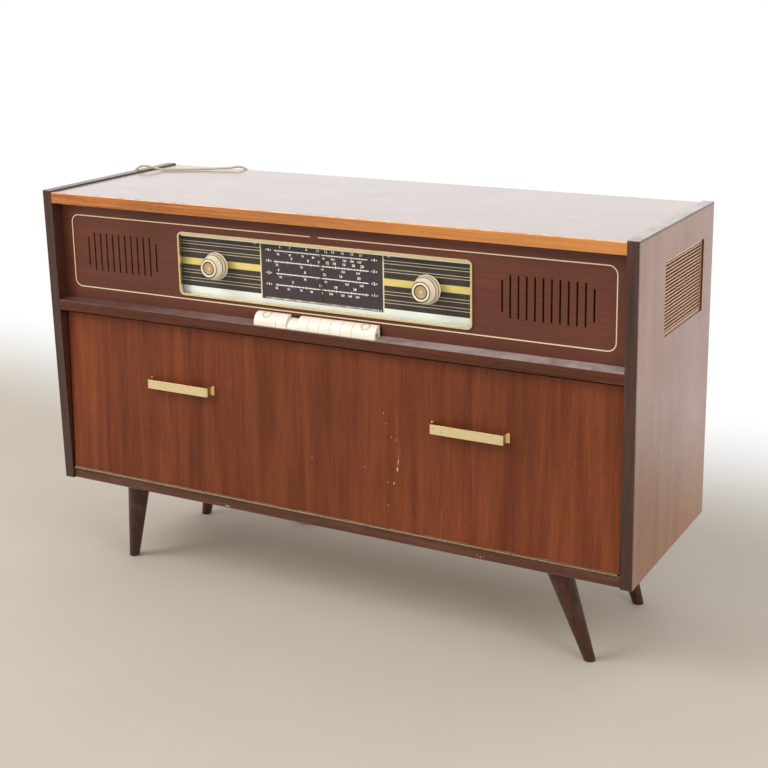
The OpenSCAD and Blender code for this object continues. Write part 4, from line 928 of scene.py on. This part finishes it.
class GRAM_OT_mains_lead(Maker, bpy.types.Operator):
    """Run the mains lead from its gland, over the top's corner and down to its coil and plug"""
    bl_idname = "gram.mains_lead"
    bl_label = "Mains lead"

    def execute(self, context):
        lead = looks(context, "lead")
        # The coil winds in for half its turns, climbs a layer, and winds out again
        x, y, radius, step, rise, turns, parts = -322, 230.5, 29, 5, 4.95, lead.turns, 24
        turn = np.arange(turns * parts + 1) / parts
        rho = radius - step * np.minimum(turn, turns - turn)
        climb = np.clip((turn - turns / 2 + 0.25) * 2, 0, 1)
        a = np.radians(270 + 360 * turn)
        coil = np.stack([x + rho * np.cos(a), y + rho * np.sin(a),
                         2.3 + rise * climb**2 * (3 - 2 * climb)], -1)
        coil = np.concatenate([coil, [(x + 8, 201.5, 7.6), (x + 16, 201.5, 8)]])
        path = np.concatenate([smooth_path(ROUTE, 8), smooth_path(coil, 2)]) / 1000
        curve = bpy.data.curves.new("mains_lead", "CURVE")
        curve.dimensions, curve.use_fill_caps = "3D", True
        curve.bevel_depth, curve.bevel_resolution = lead.diameter / 2, 3
        line = curve.splines.new("POLY")
        line.points.add(len(path) - 1)
        line.points.foreach_set("co", np.concatenate([path, np.ones((len(path), 1))], 1).ravel())
        line.use_smooth = True
        curve.materials.append(finish("beige_pvc_sheath", plastic, lead.sheath, "#c6b68e", roughness=0.42,
                                      mottle=14.0))
        piece = stand("mains_lead", curve)
        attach(piece, "cabinet")
        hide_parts("mains_cord", "cord_coil")
        wear("cord_gland", "black_rubber_gland", plastic, "#2a2826", "#383531", roughness=0.55, mottle=60.0)
        wear("mains_plug", "cream_plug_moulding", plastic, "#e2d6b8", "#cdbb8c", roughness=0.3, mottle=40.0)
        return {"FINISHED"}


def plainly_seen(tree):
    """1 for what the camera sees straight, in a gloss or through glass, and 0 for all other rays."""
    path = add(tree, "LightPath", out=None).outputs
    seen = path["Is Camera Ray"]
    for ray in ("Is Glossy Ray", "Is Transmission Ray"):
        seen = add(tree, "Math", {0: seen, 1: path[ray]}, operation="MAXIMUM")
    return seen


class GRAM_OT_stage(Maker, bpy.types.Operator):
    """Set the floor, the soft lamps, the white room and the camera"""
    bl_idname = "gram.stage"
    bl_label = "Studio"

    def execute(self, context):
        s = looks(context, "stage")
        material, tree, shader, where = start("plain_pale_floor", s.floor, 0.75, Specular_IOR_Level=0.2)
        stain = add(tree, "TexNoise", {"Vector": where, "Scale": 2.3, "Detail": 6.0, "Roughness": 0.6})
        dim, bright = ([min(1, c * level) for c in s.floor] for level in (0.97, 1.02))
        tone = add(tree, "ValToRGB", {0: stain}, stops=((0.3, dim), (0.7, bright)))
        tree.links.new(tone, shader.inputs["Base Color"])
        # Behind the cabinet the floor fades into the white room
        behind = add(tree, "SeparateXYZ", {0: where}, out=1)
        far = add(tree, "MapRange", {"Value": behind, 1: 0.45, 2: 1.35, 3: 0.0, 4: 1.0},
                  interpolation_type="SMOOTHSTEP")
        seen = add(tree, "Math", {0: plainly_seen(tree), 1: far}, operation="MULTIPLY")
        white = add(tree, "Emission", {"Color": (1, 1, 1, 1), "Strength": 1.0})
        mix = add(tree, "MixShader", {0: seen, 1: shader.outputs[0], 2: white})
        out = next(n for n in tree.nodes if n.type == "OUTPUT_MATERIAL")
        tree.links.new(mix, out.inputs[0])
        # The floor is one disc whose rings widen outwards, with its face up
        widths = np.concatenate([[0.0], np.geomspace(0.4, 60.0, 24)])
        points, faces = turned(np.stack([widths, np.zeros(len(widths))], -1), 64)
        floor = stand("floor", mesh_of("floor", points, [group[:, ::-1] for group in faces], material))

        world = bpy.data.worlds.new("white_room")
        world.use_nodes = True
        tree = world.node_tree
        tree.nodes.clear()
        level = add(tree, "MapRange", {"Value": plainly_seen(tree), 1: 0.0, 2: 1.0, 3: s.air, 4: 1.0})
        sky = add(tree, "Background", {"Color": (1, 1, 1, 1), "Strength": level})
        add(tree, "OutputWorld", {0: sky}, out=None)
        context.scene.world = world

        for name, place, aim, size, power, colour in (
                ("soft_lamp_left", (-2.4, -2.7, 3.1), (0, 0, 0.45), 2.4, 1.0, (1.0, 0.985, 0.96)),
                ("soft_lamp_right", (2.9, -1.6, 2.2), (0.1, 0, 0.5), 2.0, 0.35, (0.97, 0.985, 1.0))):
            light = bpy.data.lights.new(name, "AREA")
            light.shape, light.size, light.energy, light.color = "DISK", size, s.lamp * power, colour
            lamp = stand(name, light)
            lamp.location = place
            lamp.rotation_euler = (Vector(place) - Vector(aim)).to_track_quat("Z", "Y").to_euler()
            lamp.visible_camera = False

        camera = bpy.data.cameras.new("camera")
        camera.sensor_width, camera.lens = 36, 67.28
        camera.shift_x, camera.shift_y = -0.01974, -0.09793
        pose = Matrix.Translation((1.3114, -2.2674, 1.2080))
        for axis, degrees in (("Z", 28.69), ("X", 75.93), ("Z", -0.81)):
            pose = pose @ Matrix.Rotation(math.radians(degrees), 4, axis)
        context.scene.camera = stand("camera", camera)
        context.scene.camera.matrix_world = pose
        context.scene.view_settings.view_transform = "Standard"
        return {"FINISHED"}


OPERATORS = (
    GRAM_OT_stage, GRAM_OT_mains_lead, GRAM_OT_outer_woods, GRAM_OT_inner_woods, GRAM_OT_legs, GRAM_OT_inlay,
    GRAM_OT_dial, GRAM_OT_knobs, GRAM_OT_keys, GRAM_OT_metalwork, GRAM_OT_grilles, GRAM_OT_radio_inside,
    GRAM_OT_record_player,
)
GROUPS = {"woods": GRAM_PG_woods, "front": GRAM_PG_front, "lead": GRAM_PG_lead, "stage": GRAM_PG_stage}


class GRAM_PT_panel(bpy.types.Panel):
    """Lists the settings and the pieces of the gramophone cabinet"""
    bl_label = "Gramophone cabinet"
    bl_idname = "GRAM_PT_panel"
    bl_space_type = "VIEW_3D"
    bl_region_type = "UI"
    bl_category = "Gramophone"

    def draw(self, context):
        for part in GROUPS:
            box = self.layout.box()
            for name in looks(context, part).bl_rna.properties.keys():
                if name not in ("rna_type", "name"):
                    box.prop(looks(context, part), name)
        for operator in OPERATORS:
            self.layout.operator(operator.bl_idname)


def register():
    """Registers the settings, the operators and the panel."""
    for part, group in GROUPS.items():
        bpy.utils.register_class(group)
        setattr(bpy.types.Scene, "gram_" + part, PointerProperty(type=group))
    for cls in (*OPERATORS, GRAM_PT_panel):
        bpy.utils.register_class(cls)


def unregister():
    """Takes away what register added."""
    for cls in reversed((*OPERATORS, GRAM_PT_panel)):
        bpy.utils.unregister_class(cls)
    for part, group in GROUPS.items():
        delattr(bpy.types.Scene, "gram_" + part)
        bpy.utils.unregister_class(group)


def main():
    register()
    for operator in OPERATORS:
        group, name = operator.bl_idname.split(".")
        getattr(getattr(bpy.ops, group), name)()


if __name__ == "__main__":
    main()
